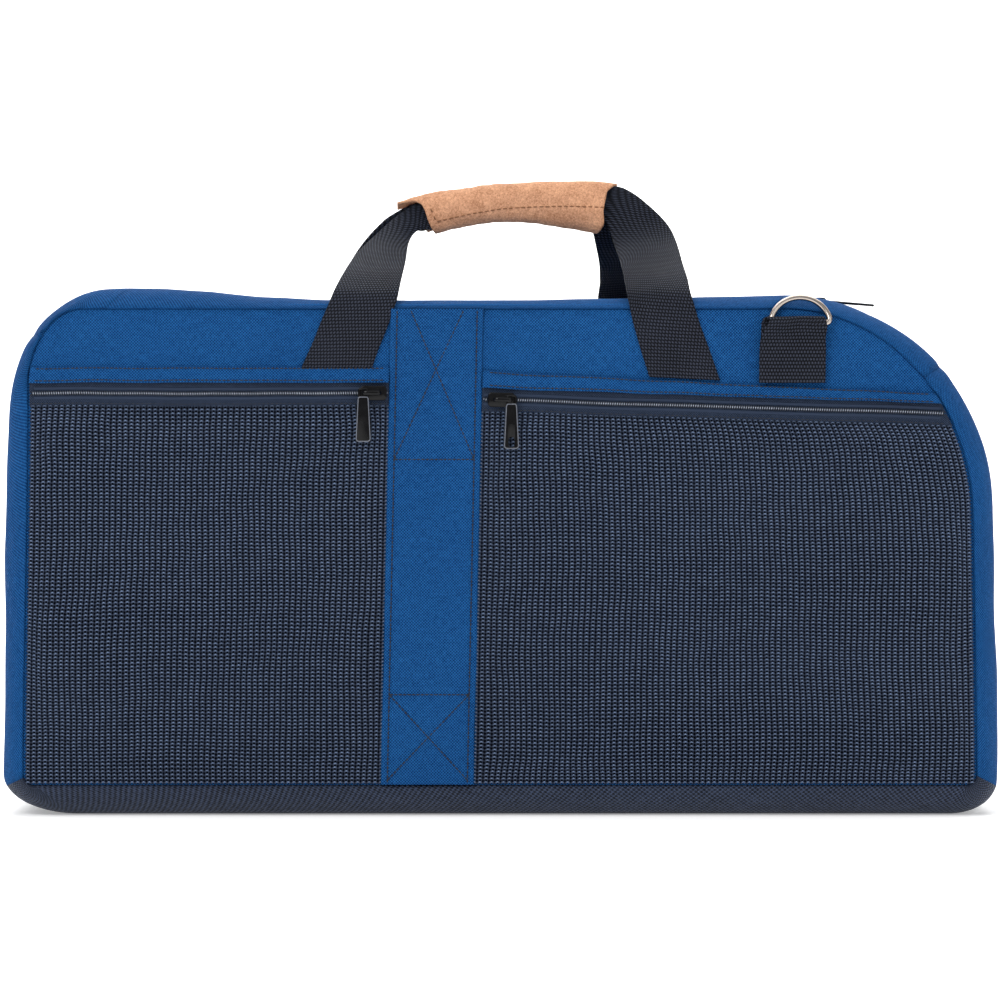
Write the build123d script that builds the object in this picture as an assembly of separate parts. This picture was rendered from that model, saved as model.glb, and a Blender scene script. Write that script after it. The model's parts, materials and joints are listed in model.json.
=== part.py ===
from build123d import *
import math
import os

# Soft flight bag: a padded fabric case with a zipped top, two zipped mesh pockets on the
# front, carrying straps joined by a suede grip, and a shoulder strap ring at each end.
# Millimetres. Origin: middle of the bottom. +Z is up and the front faces -Y.

# ---- driving dimensions -------------------------------------------------------------
BAG_LENGTH = 740.0
BAG_HEIGHT = 388.0
BAG_DEPTH = 210.0
SIDE_BULGE = 18.0
TOP_BULGE = 12.0
BOTTOM_BULGE = 23.0
LEFT_RADIUS = (42.0, 80.0)
RIGHT_RADIUS = (146.0, 161.0)
FOOT_RADIUS = (8.0, 21.0)
BULGE_STEPS = ((0.0, 0.0), (8.0, 0.65), (25.0, 1.0))
INSET_DRAW = 40.0
GUSSET_START = 200.0
SKIN = 2.0
PAD = 6.0
GAP = 0.3
WALL_BOARD = 5.5
WALL_BOARD_INSET = 8.0
SIDE_PAD_HALF = 74.0
SIDE_PAD_FOOT = 32.0
SIDE_PAD_TOPS = (300.0, 222.0)
BOTTOM_BOARD = (340.0, 76.0, 3.0)

# main zip along the top, and the two top flaps that it joins
FLAP_LEFT = -275.0
FLAP_RIGHT = 212.0
ZIP_LEFT = -303.0
ZIP_RIGHT = 260.0
END_SEAM_LEFT_Z = 356.0
END_SEAM_RIGHT_Z = 334.0
ZIP_SLOT = 12.0
TOP_CUT_Z = 340.0
TAPE = 1.0
TAPE_SINK = 6.4
TAPE_EDGES = (22.0, 1.2)
COIL_HALF = 5.0
COIL_HEIGHT = 3.0
STOP_HALF = 2.0
STOP_INSET = 3.0
STOP_RISE = 0.4
FLAP_START = 99.0
FLAP_CLEAR = 2.5
FLAP_PAD_INSET = 8.0
FLAP_PAD_EDGES = (84.0, 24.0)
SLIDER_LENGTH = 20.0
SLIDER_WALL = 1.6
SLIDER_CORNER = 3.0
FLANGE_LIFT = 0.5
COIL_CLEAR = 0.4
BAIL_START = -6.0
BAIL_END = 8.5
BAIL_LEG = 2.0
BAIL_GAP = 3.2
BAIL_WIRE = 1.4
BAIL_HALF = 1.6
PULL_LENGTH = 34.0
PULL_THICK = 1.6
PULL_CORNER = 2.5
PULL_HOLE = (8.0, 4.5)
PULL_HOLE_INSET = 5.0
MAIN_PULL_WIDTH = 12.0
POCKET_PULL_WIDTH = 11.5
EYE_HALF = 2.3
EYE_OUTER = 3.9
EYE_CORNER = 1.0
MAIN_PULL_BACK = 3.3
POCKET_PULL_BACK = 1.0
MAIN_PULL_DROP = 3.5
MAIN_SLIDER_X = 242.0

# front pockets: the centre strap, the folded welts, and a zip under each welt
STRAP_WIDTH = 69.0
STRAP_TOP_X = -46.4
STRAP_FOOT_X = -53.8
STRAP_THICK = 3.0
LEFT_WELT = (333.0, 321.0)
RIGHT_WELT_NEAR = (330.0, 317.0)
RIGHT_WELT_FAR = (313.0, 305.5)
WELT_SEWN = (6.0, 4.0)
TAPE_BELOW_SEWN = 0.5
LEFT_COIL_Z = (313.0, 313.0)
RIGHT_COIL_Z = (308.4, 298.0)
POCKET_DEPTH = 6.4
POCKET_WALL = 1.0
TAPE_BELOW_COIL = 9.0
COIL_WIDTH = 7.0
POCKET_COIL = 2.5
SEAM_ALLOWANCE = 0.8
LEFT_SLIDER_X = -93.5
RIGHT_SLIDER_X = 1.0

# handle straps and grip
WEBBING = 2.6
LEG_FACE = 106.6
LEG_FOOT_Z = 300.0
LEG_TURN = (106.6, 378.0)
LEG_SHOULDER = (102.0, 392.0)
LEG_TOP = (4.0, 450.0)
LEG_MERGE_Z = 433.0
LEG_MERGE_RUN = 50.0
RUN_PAST_GRIP = (14.0, 12.0)
RUN_HALF = 10.0
LEFT_LEG = [(-146, 333.5), (-96, 333.5), (-82, 376.5), (-76, 384), (-62.5, 433), (-62.5, 453),
            (-78, 453), (-126, 384)]
RIGHT_LEG = [(112, 326), (163, 324), (142, 384), (92, 462), (78.5, 462), (78.5, 440), (94, 384)]
SUEDE = 2.0
GRIP_Z = 455.0
GRIP_LEFT = -62.0
GRIP_RIGHT = 78.0
GRIP_HALF = 14.0
GRIP_DEPTH = 8.5
WRAP_TOPS = (11.0, 4.0)
STRIP = 1.0
STRIP_HEIGHTS = (-12.0, 3.0)
FLAP_LIFT = 0.7
BACK_SHIFT = -17.0

# shoulder strap rings
RING_X = 222.0
RING_RADIUS = 22.0
RING_WIRE = 4.3
RING_BAR = (111.5, 364.5)
RING_LEAN = 18.0
RING_HANG = 35.0
TAB_WIDTH = 51.0
TAB_NECK = 36.0
RING_CORNER = 3.5
RING_SLOPE = 18.0
TAB_SHIFT = -4.0
TAB_HEIGHTS = (321.0, 350.0)
TAB_OVER_BAR = 3.0
TAB_UNDER_BAR = 4.0

# the back: a welt across it, in line with the top of the ring tab
BACK_WELT = (309.0, 321.0)
BACK_WELT_LEFT = -349.0
BACK_WELT_RIGHT = 318.0

HALF_LENGTH = BAG_LENGTH / 2
HALF_DEPTH = BAG_DEPTH / 2
SEAM_TOP = BAG_HEIGHT - TOP_BULGE
SEAM_SIDE = HALF_LENGTH - SIDE_BULGE
FAR = 1000.0

os.makedirs("parts", exist_ok=True)


def save(node, shape):
    """Write one sub-part."""
    export_step(shape, "parts/" + node + ".step")


def block(x0, x1, y0, y1, z0, z1):
    """A box between two corners."""
    corner = Pos((x0 + x1) / 2, (y0 + y1) / 2, (z0 + z1) / 2)
    return corner * Box(abs(x1 - x0), abs(y1 - y0), abs(z1 - z0))


def front_plate(points, near, far):
    """A plate with an outline of (x, z) points, from y = near to y = far."""
    wire = Wire.make_polygon([(x, near, z) for x, z in points], close=True)
    return Solid.extrude(Face(wire), Vector(0, far - near, 0))


def side_plate(points, left, right):
    """A plate with an outline of (y, z) points, from x = left to x = right."""
    wire = Wire.make_polygon([(left, y, z) for y, z in points], close=True)
    return Solid.extrude(Face(wire), Vector(right - left, 0, 0))


# ---- the case ------------------------------------------------------------------------
def case_wire(y, bulge, inset):
    """The case's outline at one depth: four straight sides and four round corners."""
    left = -SEAM_SIDE - bulge * SIDE_BULGE + inset
    right = SEAM_SIDE + bulge * SIDE_BULGE - inset
    foot = BOTTOM_BULGE * (1 - bulge) + inset
    top = SEAM_TOP + bulge * TOP_BULGE - inset
    radii = []
    for seam, outer in (FOOT_RADIUS, RIGHT_RADIUS, LEFT_RADIUS, FOOT_RADIUS):
        radii.append(seam + bulge * (outer - seam) - min(inset, seam / 2))
    corners = ((right, foot, -90), (right, top, 0), (left, top, 90), (left, foot, 180))
    arcs = []
    for (x, z, start), radius in zip(corners, radii):
        cx = x - math.copysign(radius, x)
        cz = z + radius if z == foot else z - radius
        ends = []
        for turn in (0, 45, 90):
            angle = math.radians(start + turn)
            ends.append((cx + radius * math.cos(angle), y, cz + radius * math.sin(angle)))
        arcs.append(ends)
    edges = []
    for index, (first, middle, last) in enumerate(arcs):
        edges.append(Edge.make_three_point_arc(first, middle, last))
        edges.append(Edge.make_line(last, arcs[(index + 1) % 4][0]))
    return Wire(edges)


def case_solid(inset):
    """The whole case as one solid, its walls moved in by inset."""
    stations = []
    for depth, bulge in BULGE_STEPS:
        stations.append((HALF_DEPTH - depth * (1 - inset / INSET_DRAW) - inset, bulge))
    wires = [case_wire(-y, bulge, inset) for y, bulge in stations]
    wires += [case_wire(y, bulge, inset) for y, bulge in reversed(stations)]
    return Solid.make_loft(wires, ruled=True)


outer_case = case_solid(0)
skin_shell = outer_case - case_solid(SKIN)
pad_shell = case_solid(SKIN) - case_solid(SKIN + PAD)
panel_y = HALF_DEPTH - SKIN

save("front_panel", skin_shell & block(-FAR, FAR, -FAR, -panel_y, -FAR, FAR))
save("back_panel", skin_shell & block(-FAR, FAR, panel_y, FAR, -FAR, FAR))

gusset = skin_shell & block(-FAR, FAR, -panel_y, panel_y, -FAR, FAR)
save("bottom_panel", gusset & block(-FAR, FAR, -FAR, FAR, -FAR, BOTTOM_BULGE))
save("left_gusset", gusset & block(-FAR, -GUSSET_START, -FAR, FAR, BOTTOM_BULGE, END_SEAM_LEFT_Z))
save("right_gusset", gusset & block(GUSSET_START, FAR, -FAR, FAR, BOTTOM_BULGE, END_SEAM_RIGHT_Z))

slot = block(ZIP_LEFT, ZIP_RIGHT, -ZIP_SLOT, ZIP_SLOT, TOP_CUT_Z, FAR)
left_end = gusset & block(-FAR, FLAP_LEFT, -FAR, FAR, END_SEAM_LEFT_Z, FAR)
right_end = gusset & block(FLAP_RIGHT, FAR, -FAR, FAR, END_SEAM_RIGHT_Z, FAR)
save("top_end_left", left_end - slot)
save("top_end_right", right_end - slot)

for side, name in ((-1, "front"), (1, "back")):
    rim = block(FLAP_LEFT, FLAP_RIGHT, side * (FLAP_START + FLAP_CLEAR), side * panel_y, TOP_CUT_Z, FAR)
    save(name + "_top_binding", gusset & rim)
    flap = block(FLAP_LEFT + GAP, FLAP_RIGHT - GAP, side * FLAP_START, side * ZIP_SLOT, TOP_CUT_Z, FAR)
    save(name + "_top_flap", gusset & flap)
    pad_near, pad_far = FLAP_PAD_EDGES
    pad_left = FLAP_LEFT + FLAP_PAD_INSET
    pad = block(pad_left, FLAP_RIGHT - FLAP_PAD_INSET, side * pad_near, side * pad_far, TOP_CUT_Z, FAR)
    save(name + "_flap_pad", pad_shell & pad)


def wall_board(sign):
    """Foam board behind the front or back panel, with the case's own corner shapes."""
    wire = case_wire(sign * panel_y, 0, WALL_BOARD_INSET)
    return Solid.extrude(Face(wire), Vector(0, -sign * WALL_BOARD, 0))


save("front_pad", wall_board(-1))
save("back_pad", wall_board(1))
inner = HALF_LENGTH - SKIN
for side, sign, pad_top in (("left", -1, SIDE_PAD_TOPS[0]), ("right", 1, SIDE_PAD_TOPS[1])):
    edges = sign * inner, sign * (inner - PAD)
    save(side + "_pad", block(*edges, -SIDE_PAD_HALF, SIDE_PAD_HALF, SIDE_PAD_FOOT, pad_top))
board_x, board_y, board_thick = BOTTOM_BOARD
save("bottom_board", block(-board_x, board_x, -board_y, board_y, SKIN, SKIN + board_thick))

# ---- main zip ------------------------------------------------------------------------
tape_top = BAG_HEIGHT - SKIN - TAPE_SINK
coil_top = tape_top + COIL_HEIGHT


def main_tape(side, left, right):
    """One side of the main zip's woven tape, under the edge of the top fabric."""
    return block(left, right, side * TAPE_EDGES[0], side * TAPE_EDGES[1], tape_top - TAPE, tape_top)


def main_coil(side, left, right):
    """One half of the main zip's coil, on its tape."""
    return block(left, right, side * COIL_HALF, side * GAP, tape_top, coil_top)


for side, name in ((-1, "front"), (1, "back")):
    save(name + "_main_tape", main_tape(side, FLAP_LEFT + GAP, FLAP_RIGHT - GAP))
    save(name + "_main_coil", main_coil(side, FLAP_LEFT + GAP, FLAP_RIGHT - GAP))


def zip_end(left, right, stop):
    """The fixed end of the main zip: both tapes, closed coil, and a stop."""
    tape = block(left, right, -ZIP_SLOT, ZIP_SLOT, tape_top - TAPE, tape_top)
    coil = block(left, right, -COIL_HALF, COIL_HALF, tape_top, coil_top)
    bar = block(stop - STOP_HALF, stop + STOP_HALF, -COIL_HALF, COIL_HALF, tape_top, coil_top + STOP_RISE)
    return tape + coil + bar


save("main_zip_end_left", zip_end(ZIP_LEFT, FLAP_LEFT, ZIP_LEFT + STOP_INSET))
save("main_zip_end_right", zip_end(FLAP_RIGHT, ZIP_RIGHT, ZIP_RIGHT - STOP_INSET))


# ---- sliders and pulls, made lying along +X with the coil under them ------------------
def slider(width, height):
    """Slider: a roof plate, two flanges that hang beside the coil, and a bail on top."""
    length = SLIDER_LENGTH
    low = height + COIL_CLEAR
    top = low + SLIDER_WALL
    body = block(-length / 2, length / 2, -width / 2, width / 2, FLANGE_LIFT, top)
    body -= block(-length, length, SLIDER_WALL - width / 2, width / 2 - SLIDER_WALL, 0, low)
    body &= extrude(RectangleRounded(length, width, SLIDER_CORNER), length, both=True)
    bail = block(BAIL_START, BAIL_END, -BAIL_HALF, BAIL_HALF, low, top + BAIL_GAP + BAIL_WIRE)
    bail -= block(BAIL_START + BAIL_LEG, BAIL_END - BAIL_LEG, -width, width, top, top + BAIL_GAP)
    return body + bail


def pull(width, hole):
    """Pull tab around an origin in the middle of its eye: a square eye and a long blade."""
    eye = extrude(RectangleRounded(2 * EYE_OUTER, 2 * EYE_OUTER, EYE_CORNER), PULL_THICK / 2, both=True)
    blade = Pos(EYE_HALF + PULL_LENGTH / 2, 0, 0)
    blade *= extrude(RectangleRounded(PULL_LENGTH, width, PULL_CORNER), PULL_THICK / 2, both=True)
    tab = eye + blade - extrude(Rectangle(2 * EYE_HALF, 2 * EYE_HALF), PULL_THICK, both=True)
    if hole:
        slot_cut = extrude(SlotOverall(*PULL_HOLE), PULL_THICK, both=True)
        tab -= Pos(PULL_LENGTH - PULL_HOLE_INSET, 0, 0) * slot_cut
    return tab


main_half = COIL_HALF + COIL_CLEAR + SLIDER_WALL
main_roof = tape_top + COIL_HEIGHT + COIL_CLEAR + SLIDER_WALL
save("main_slider", Pos(MAIN_SLIDER_X, 0, tape_top) * slider(2 * main_half, COIL_HEIGHT))
main_pivot = Pos(MAIN_SLIDER_X + BAIL_END - MAIN_PULL_BACK, 0, main_roof + BAIL_GAP / 2)
bar_offset = (EYE_OUTER + EYE_HALF) / 2
main_tab = Rot(0, MAIN_PULL_DROP, 0) * Pos(bar_offset, 0, 0) * pull(MAIN_PULL_WIDTH, False)
save("main_pull", main_pivot * main_tab)


# ---- front pockets -------------------------------------------------------------------
def strap_edge(z, sign):
    """X of the centre strap's left (-1) or right (1) edge at height z."""
    share = (z - BOTTOM_BULGE) / (SEAM_TOP - BOTTOM_BULGE)
    return STRAP_FOOT_X + share * (STRAP_TOP_X - STRAP_FOOT_X) + sign * STRAP_WIDTH / 2


def inside_seam(shape, inset):
    """Keep what lies inside the front seam, moved in by inset, and beside the centre strap."""
    seam = Face(case_wire(-HALF_DEPTH, 0, inset))
    return (shape & Solid.extrude(seam, Vector(0, -2 * POCKET_DEPTH, 0))) - strap_space


foot_z = BOTTOM_BULGE + SEAM_ALLOWANCE
strap_top = SEAM_TOP - SEAM_ALLOWANCE
strap_points = [(strap_edge(foot_z, -1), foot_z), (strap_edge(foot_z, 1), foot_z),
                (strap_edge(strap_top, 1), strap_top), (strap_edge(strap_top, -1), strap_top)]
save("centre_strap", front_plate(strap_points, -HALF_DEPTH, -HALF_DEPTH - STRAP_THICK))
strap_space = front_plate(strap_points, -HALF_DEPTH, -HALF_DEPTH - 2 * POCKET_DEPTH)
tape_back = HALF_DEPTH + 1.0
tape_front = tape_back + TAPE


def band(near, far, near_heights, far_heights, y0, y1):
    """A strip across the front, between two heights at each of its two ends."""
    points = [(near, near_heights[0]), (far, far_heights[0]), (far, far_heights[1]), (near, near_heights[1])]
    return inside_seam(front_plate(points, y0, y1), SEAM_ALLOWANCE)


def pocket(side, near, far, near_welt, far_welt, coil):
    """Welt, zip tapes, coil and mesh tray between the centre strap and one side seam."""
    back = -HALF_DEPTH
    face = -tape_front - GAP
    cover = band(near, far, near_welt, far_welt, face, face - SKIN)
    sewn = (near_welt[0], near_welt[0] - WELT_SEWN[0]), (far_welt[0], far_welt[0] - WELT_SEWN[1])
    save(side + "_welt", cover + band(near, far, sewn[0], sewn[1], back, face))

    tops = (sewn[0][1] - TAPE_BELOW_SEWN, coil[0] + GAP), (sewn[1][1] - TAPE_BELOW_SEWN, coil[1] + GAP)
    save(side + "_upper_tape", band(near, far, tops[0], tops[1], -tape_back, -tape_front))
    feet = (coil[0] - GAP, coil[0] - TAPE_BELOW_COIL), (coil[1] - GAP, coil[1] - TAPE_BELOW_COIL)
    save(side + "_lower_tape", band(near, far, feet[0], feet[1], -tape_back, -tape_front))
    half = COIL_WIDTH / 2
    rows = (coil[0] + half, coil[0] - half), (coil[1] + half, coil[1] - half)
    save(side + "_coil", band(near, far, rows[0], rows[1], -tape_front, -tape_front - POCKET_COIL))

    sign = math.copysign(1, far)
    walls = []
    for wall in (0, POCKET_WALL):
        foot = foot_z + wall
        heights = coil[0] - TAPE_BELOW_COIL - wall, coil[1] - TAPE_BELOW_COIL - wall
        outline = [(strap_edge(foot_z, sign) + sign * wall, foot), (far, foot), (far, heights[1]),
                   (near + sign * wall, heights[0])]
        tray = front_plate(outline, back, back - POCKET_DEPTH + wall)
        walls.append(inside_seam(tray, SEAM_ALLOWANCE + wall))
    save(side + "_mesh_pocket", walls[0] - walls[1])


pocket("left", strap_edge(320, -1), -SEAM_SIDE, LEFT_WELT, LEFT_WELT, LEFT_COIL_Z)
pocket("right", strap_edge(320, 1), SEAM_SIDE, RIGHT_WELT_NEAR, RIGHT_WELT_FAR, RIGHT_COIL_Z)

right_near = strap_edge(320, 1)
right_fall = (RIGHT_COIL_Z[1] - RIGHT_COIL_Z[0]) / (SEAM_SIDE - right_near)
right_slider_z = RIGHT_COIL_Z[0] + right_fall * (RIGHT_SLIDER_X - right_near)
pocket_half = COIL_WIDTH / 2 + COIL_CLEAR + SLIDER_WALL
pull_y = -(tape_front + POCKET_COIL + COIL_CLEAR + SLIDER_WALL + BAIL_GAP / 2)
FRONT_FACING = Rot(90, 0, 0)
for side, x, z, fall, sign in (("left", LEFT_SLIDER_X, LEFT_COIL_Z[0], 0, -1),
                               ("right", RIGHT_SLIDER_X, right_slider_z, right_fall, 1)):
    turn = Rot(0, -math.degrees(math.atan(fall)), 0) * FRONT_FACING * Rot(0, 0, 0 if sign > 0 else 180)
    save(side + "_slider", Pos(x, -tape_front, z) * turn * slider(2 * pocket_half, POCKET_COIL))
    reach = sign * (BAIL_END - POCKET_PULL_BACK)
    hang = Pos(x + reach, pull_y, z + fall * reach)
    save(side + "_pull", hang * FRONT_FACING * Rot(0, 0, -90) * pull(POCKET_PULL_WIDTH, sign > 0))


# ---- handle straps and grip ----------------------------------------------------------
def ribbon(points, thickness):
    """Outline of a line of (a, b) points given a thickness, mitred at its corners."""
    upper = []
    lower = []
    for index, (a, b) in enumerate(points):
        ahead = points[min(index + 1, len(points) - 1)]
        behind = points[max(index - 1, 0)]
        along = []
        for start, stop in ((behind, (a, b)), ((a, b), ahead)):
            if start != stop:
                along.append((Vector(*stop) - Vector(*start)).normalized())
        mean = (along[0] + along[-1]).normalized()
        stretch = thickness / 2 / mean.dot(along[0])
        upper.append((a - mean.Y * stretch, b + mean.X * stretch))
        lower.append((a + mean.Y * stretch, b - mean.X * stretch))
    return upper + lower[::-1]


def handle_strap(side, shift):
    """One webbing strap: two legs that rise from the case, and the run inside the grip."""
    path = [(side * LEG_FACE, LEG_FOOT_Z), (side * LEG_TURN[0], LEG_TURN[1]),
            (side * LEG_SHOULDER[0], LEG_SHOULDER[1]), (side * LEG_TOP[0], LEG_TOP[1])]
    sheet = side_plate(ribbon(path, WEBBING), -HALF_LENGTH, HALF_LENGTH)
    left, right = GRIP_LEFT - RUN_PAST_GRIP[0], GRIP_RIGHT + RUN_PAST_GRIP[1]
    strap = block(left, right, side * (LEG_TOP[0] + 1), side * GAP, GRIP_Z - RUN_HALF, GRIP_Z + RUN_HALF)
    for outline in (LEFT_LEG, RIGHT_LEG):
        points = [(x + shift * min(1, max(0, (LEG_MERGE_Z - z) / LEG_MERGE_RUN)), z) for x, z in outline]
        strap += sheet & front_plate(points, -BAG_DEPTH, BAG_DEPTH)
    return strap


save("front_strap", handle_strap(-1, 0))
save("back_strap", handle_strap(1, BACK_SHIFT))
save("back_welt", block(BACK_WELT_LEFT, BACK_WELT_RIGHT, HALF_DEPTH, HALF_DEPTH + SKIN, *BACK_WELT))


def grip_plate(y0, y1, z0, z1):
    """A plate that runs the whole length of the grip; z is from the grip's middle."""
    return block(GRIP_LEFT, GRIP_RIGHT, y0, y1, GRIP_Z + z0, GRIP_Z + z1)


wrap_back = GRIP_DEPTH + SUEDE
loop_face = -GRIP_DEPTH - STRIP
hook_face = loop_face - GAP - STRIP
flap_face = hook_face - SUEDE
back_wall = grip_plate(GRIP_DEPTH, wrap_back, -GRIP_HALF, WRAP_TOPS[0])
floor_wall = grip_plate(-GRIP_DEPTH, wrap_back, -GRIP_HALF, -GRIP_HALF + SUEDE)
front_wall = grip_plate(-GRIP_DEPTH, -GRIP_DEPTH + SUEDE, -GRIP_HALF, WRAP_TOPS[1])
save("grip_wrap", back_wall + floor_wall + front_wall)
save("loop_strip", grip_plate(loop_face, -GRIP_DEPTH, *STRIP_HEIGHTS))
save("hook_strip", grip_plate(hook_face, hook_face + STRIP, *STRIP_HEIGHTS))
flap_top = grip_plate(flap_face, wrap_back, GRIP_HALF - SUEDE - FLAP_LIFT, GRIP_HALF)
flap_front = grip_plate(flap_face, hook_face, -GRIP_HALF, GRIP_HALF)
save("grip_flap", flap_top + flap_front)


# ---- shoulder strap rings ------------------------------------------------------------
def d_ring():
    """D-shaped ring in the XZ plane, its bar along X through the origin."""
    bar = RING_RADIUS - RING_CORNER
    slope = math.cos(math.radians(RING_SLOPE))
    line = Line((-bar, 0), (bar, 0))
    right = JernArc((bar, 0), (1, 0), RING_CORNER, 90 + RING_SLOPE)
    crown = JernArc(right @ 1, right % 1, bar / slope + RING_CORNER, 180 - 2 * RING_SLOPE)
    left = JernArc(crown @ 1, crown % 1, RING_CORNER, 90 + RING_SLOPE)
    path = Wire([line.edge(), right.edge(), crown.edge(), left.edge()])
    wire = Solid.sweep(Face(Wire.make_circle(RING_WIRE / 2, Plane.YZ)), path)
    return Rot(90, 0, 0) * wire


def ring_tab():
    """Webbing tab on the front: flat where it is sewn, and a loop around the ring's bar."""
    bar_y, bar_z = RING_BAR
    outer = RING_WIRE / 2 + GAP + WEBBING
    face = -HALF_DEPTH - GAP
    front = face - 2 * WEBBING
    low, high = TAB_HEIGHTS
    foot = [(face, low), (face, high), (front, high), (front, low)]
    neck = [(face, high), (face, bar_z + TAB_OVER_BAR), (-bar_y, bar_z + outer), (-bar_y - outer, bar_z),
            (-bar_y - outer + 1, bar_z - TAB_UNDER_BAR), (front, high)]
    tab = side_plate(foot, RING_X + TAB_SHIFT - TAB_WIDTH / 2, RING_X + TAB_SHIFT + TAB_WIDTH / 2)
    tab += side_plate(neck, RING_X - TAB_NECK / 2, RING_X + TAB_NECK / 2)
    bore = Pos(RING_X, -bar_y, bar_z) * Rot(0, 90, 0) * Cylinder(RING_WIRE / 2 + GAP, TAB_WIDTH)
    return tab - bore


front_tab = ring_tab()
save("front_ring_tab", front_tab)
save("back_ring_tab", Rot(0, 0, 180) * front_tab)
save("front_d_ring", Pos(RING_X, -RING_BAR[0], RING_BAR[1]) * Rot(-RING_LEAN, 0, 0) * d_ring())
save("back_d_ring", Pos(-RING_X, RING_BAR[0], RING_BAR[1]) * Rot(RING_HANG - 180, 0, 0) * d_ring())
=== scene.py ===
import json
import math

import bpy
import numpy as np
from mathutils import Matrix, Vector


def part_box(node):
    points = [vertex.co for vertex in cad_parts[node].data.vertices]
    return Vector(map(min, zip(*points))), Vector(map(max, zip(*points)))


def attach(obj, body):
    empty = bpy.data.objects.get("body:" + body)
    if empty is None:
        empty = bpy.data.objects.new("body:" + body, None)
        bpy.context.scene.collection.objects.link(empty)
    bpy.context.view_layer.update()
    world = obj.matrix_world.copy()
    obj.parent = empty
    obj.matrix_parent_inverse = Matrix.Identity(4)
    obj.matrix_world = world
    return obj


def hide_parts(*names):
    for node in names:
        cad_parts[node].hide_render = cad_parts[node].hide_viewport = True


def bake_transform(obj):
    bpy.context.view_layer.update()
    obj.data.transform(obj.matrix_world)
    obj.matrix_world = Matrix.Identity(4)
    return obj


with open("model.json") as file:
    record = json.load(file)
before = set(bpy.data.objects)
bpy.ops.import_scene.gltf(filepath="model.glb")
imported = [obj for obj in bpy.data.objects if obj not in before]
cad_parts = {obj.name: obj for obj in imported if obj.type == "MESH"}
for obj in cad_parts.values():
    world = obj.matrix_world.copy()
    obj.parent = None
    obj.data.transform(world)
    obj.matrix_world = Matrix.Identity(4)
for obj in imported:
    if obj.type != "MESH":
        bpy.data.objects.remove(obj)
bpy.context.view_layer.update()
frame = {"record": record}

# Padded flight bag: fabric case, mesh pockets, zips, webbing handle and strap rings.
# Metres. The front faces -Y and the bag stands on z = 0.

MM = 0.001
PI = math.pi


def corner(node, end):
    """Lowest (0) or highest (1) corner of a CAD node as an array."""
    return np.array(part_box(node)[end])


# ---- sizes read from the frame, and the shapes that they drive ------------------------
HALF_LENGTH = corner("bottom_panel", 1)[0]
HEIGHT = corner("front_top_flap", 1)[2]
HALF_DEPTH = -corner("front_panel", 0)[1]
SEAM_SIDE = 352 * MM
SEAM_TOP = corner("front_panel", 1)[2] - 2.5 * MM
SEAM_FOOT = corner("bottom_panel", 1)[2]
FLAP_LEFT = corner("front_top_flap", 0)[0]
FLAP_RIGHT = corner("front_top_flap", 1)[0]
FLAP_EDGE = -corner("front_top_flap", 1)[1]
TAPE_TOP = corner("front_main_tape", 1)[2]
END_SEAM_LEFT = corner("left_gusset", 1)[2]
END_SEAM_RIGHT = corner("right_gusset", 1)[2]
# half width and half height of each corner's curve, at the front seam and at the fullest
# part, in the order foot right, top right, top left, foot left
SEAM_CORNERS = np.array([(8, 8), (140, 152), (40, 56), (8, 8)]) * MM
FULL_CORNERS = np.array([(36, 24), (150, 162), (76, 96), (56, 30)]) * MM
# how full the case is at each depth from the front seam inwards, and that depth
BAND_FULL = np.array([0, 0.07, 0.24, 0.46, 0.68, 0.9, 1.0])
BAND_DEPTH = np.array([103.6, 105.2, 104.0, 101.0, 96.4, 89.0, 80.0]) * MM
# the top sags a little between its ends
TOP_SAG_X = np.array([-370, -325, -280, -250, -215, -180, -130, -50, 10, 100, 215, 275, 320, 370]) * MM
TOP_SAG = np.array([0, 1.8, 4.2, 4.2, 2.2, -1.6, -4.4, -4.8, -4.6, -3.2, -1.0, -2.8, 0, 0]) * MM


# the least width that a strip of cloth is cut to
NARROWEST_CUT = 10.2 * MM


# ---- small helpers ------------------------------------------------------------------
def smooth(low, high, value):
    """Zero below low, one above high, and a smooth step between."""
    t = np.clip((value - low) / (high - low), 0, 1)
    return t * t * (3 - 2 * t)


def unit(vectors):
    """Vectors scaled to length one."""
    return vectors / np.maximum(np.linalg.norm(vectors, axis=-1, keepdims=True), 1e-12)


def waves(points, size, seed, count=7):
    """Sum of sine waves in random directions, about -1 to 1: a smooth field for soft cloth."""
    rng = np.random.default_rng(seed)
    ways = unit(rng.normal(size=(count, 3))) * rng.uniform(0.6, 1.5, (count, 1)) * 2 * PI / size
    return np.sin(points @ ways.T + rng.uniform(0, 2 * PI, count)).sum(-1) / count * 1.7


def through(stations, share):
    """Catmull-Rom curve through stations (N, D), read at shares 0 to 1."""
    points = np.asarray(stations, float)
    ends = np.vstack([2 * points[0] - points[1], points, 2 * points[-1] - points[-2]])
    place = np.clip(share, 0, 1) * (len(points) - 1)
    cell = np.minimum(place.astype(int), len(points) - 2)
    t = (place - cell)[..., None]
    a, b, c, d = (ends[cell + k] for k in range(4))
    return 0.5 * (2 * b + (c - a) * t + (2 * a - 5 * b + 4 * c - d) * t ** 2 + (3 * b - a - 3 * c + d) * t ** 3)


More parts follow.
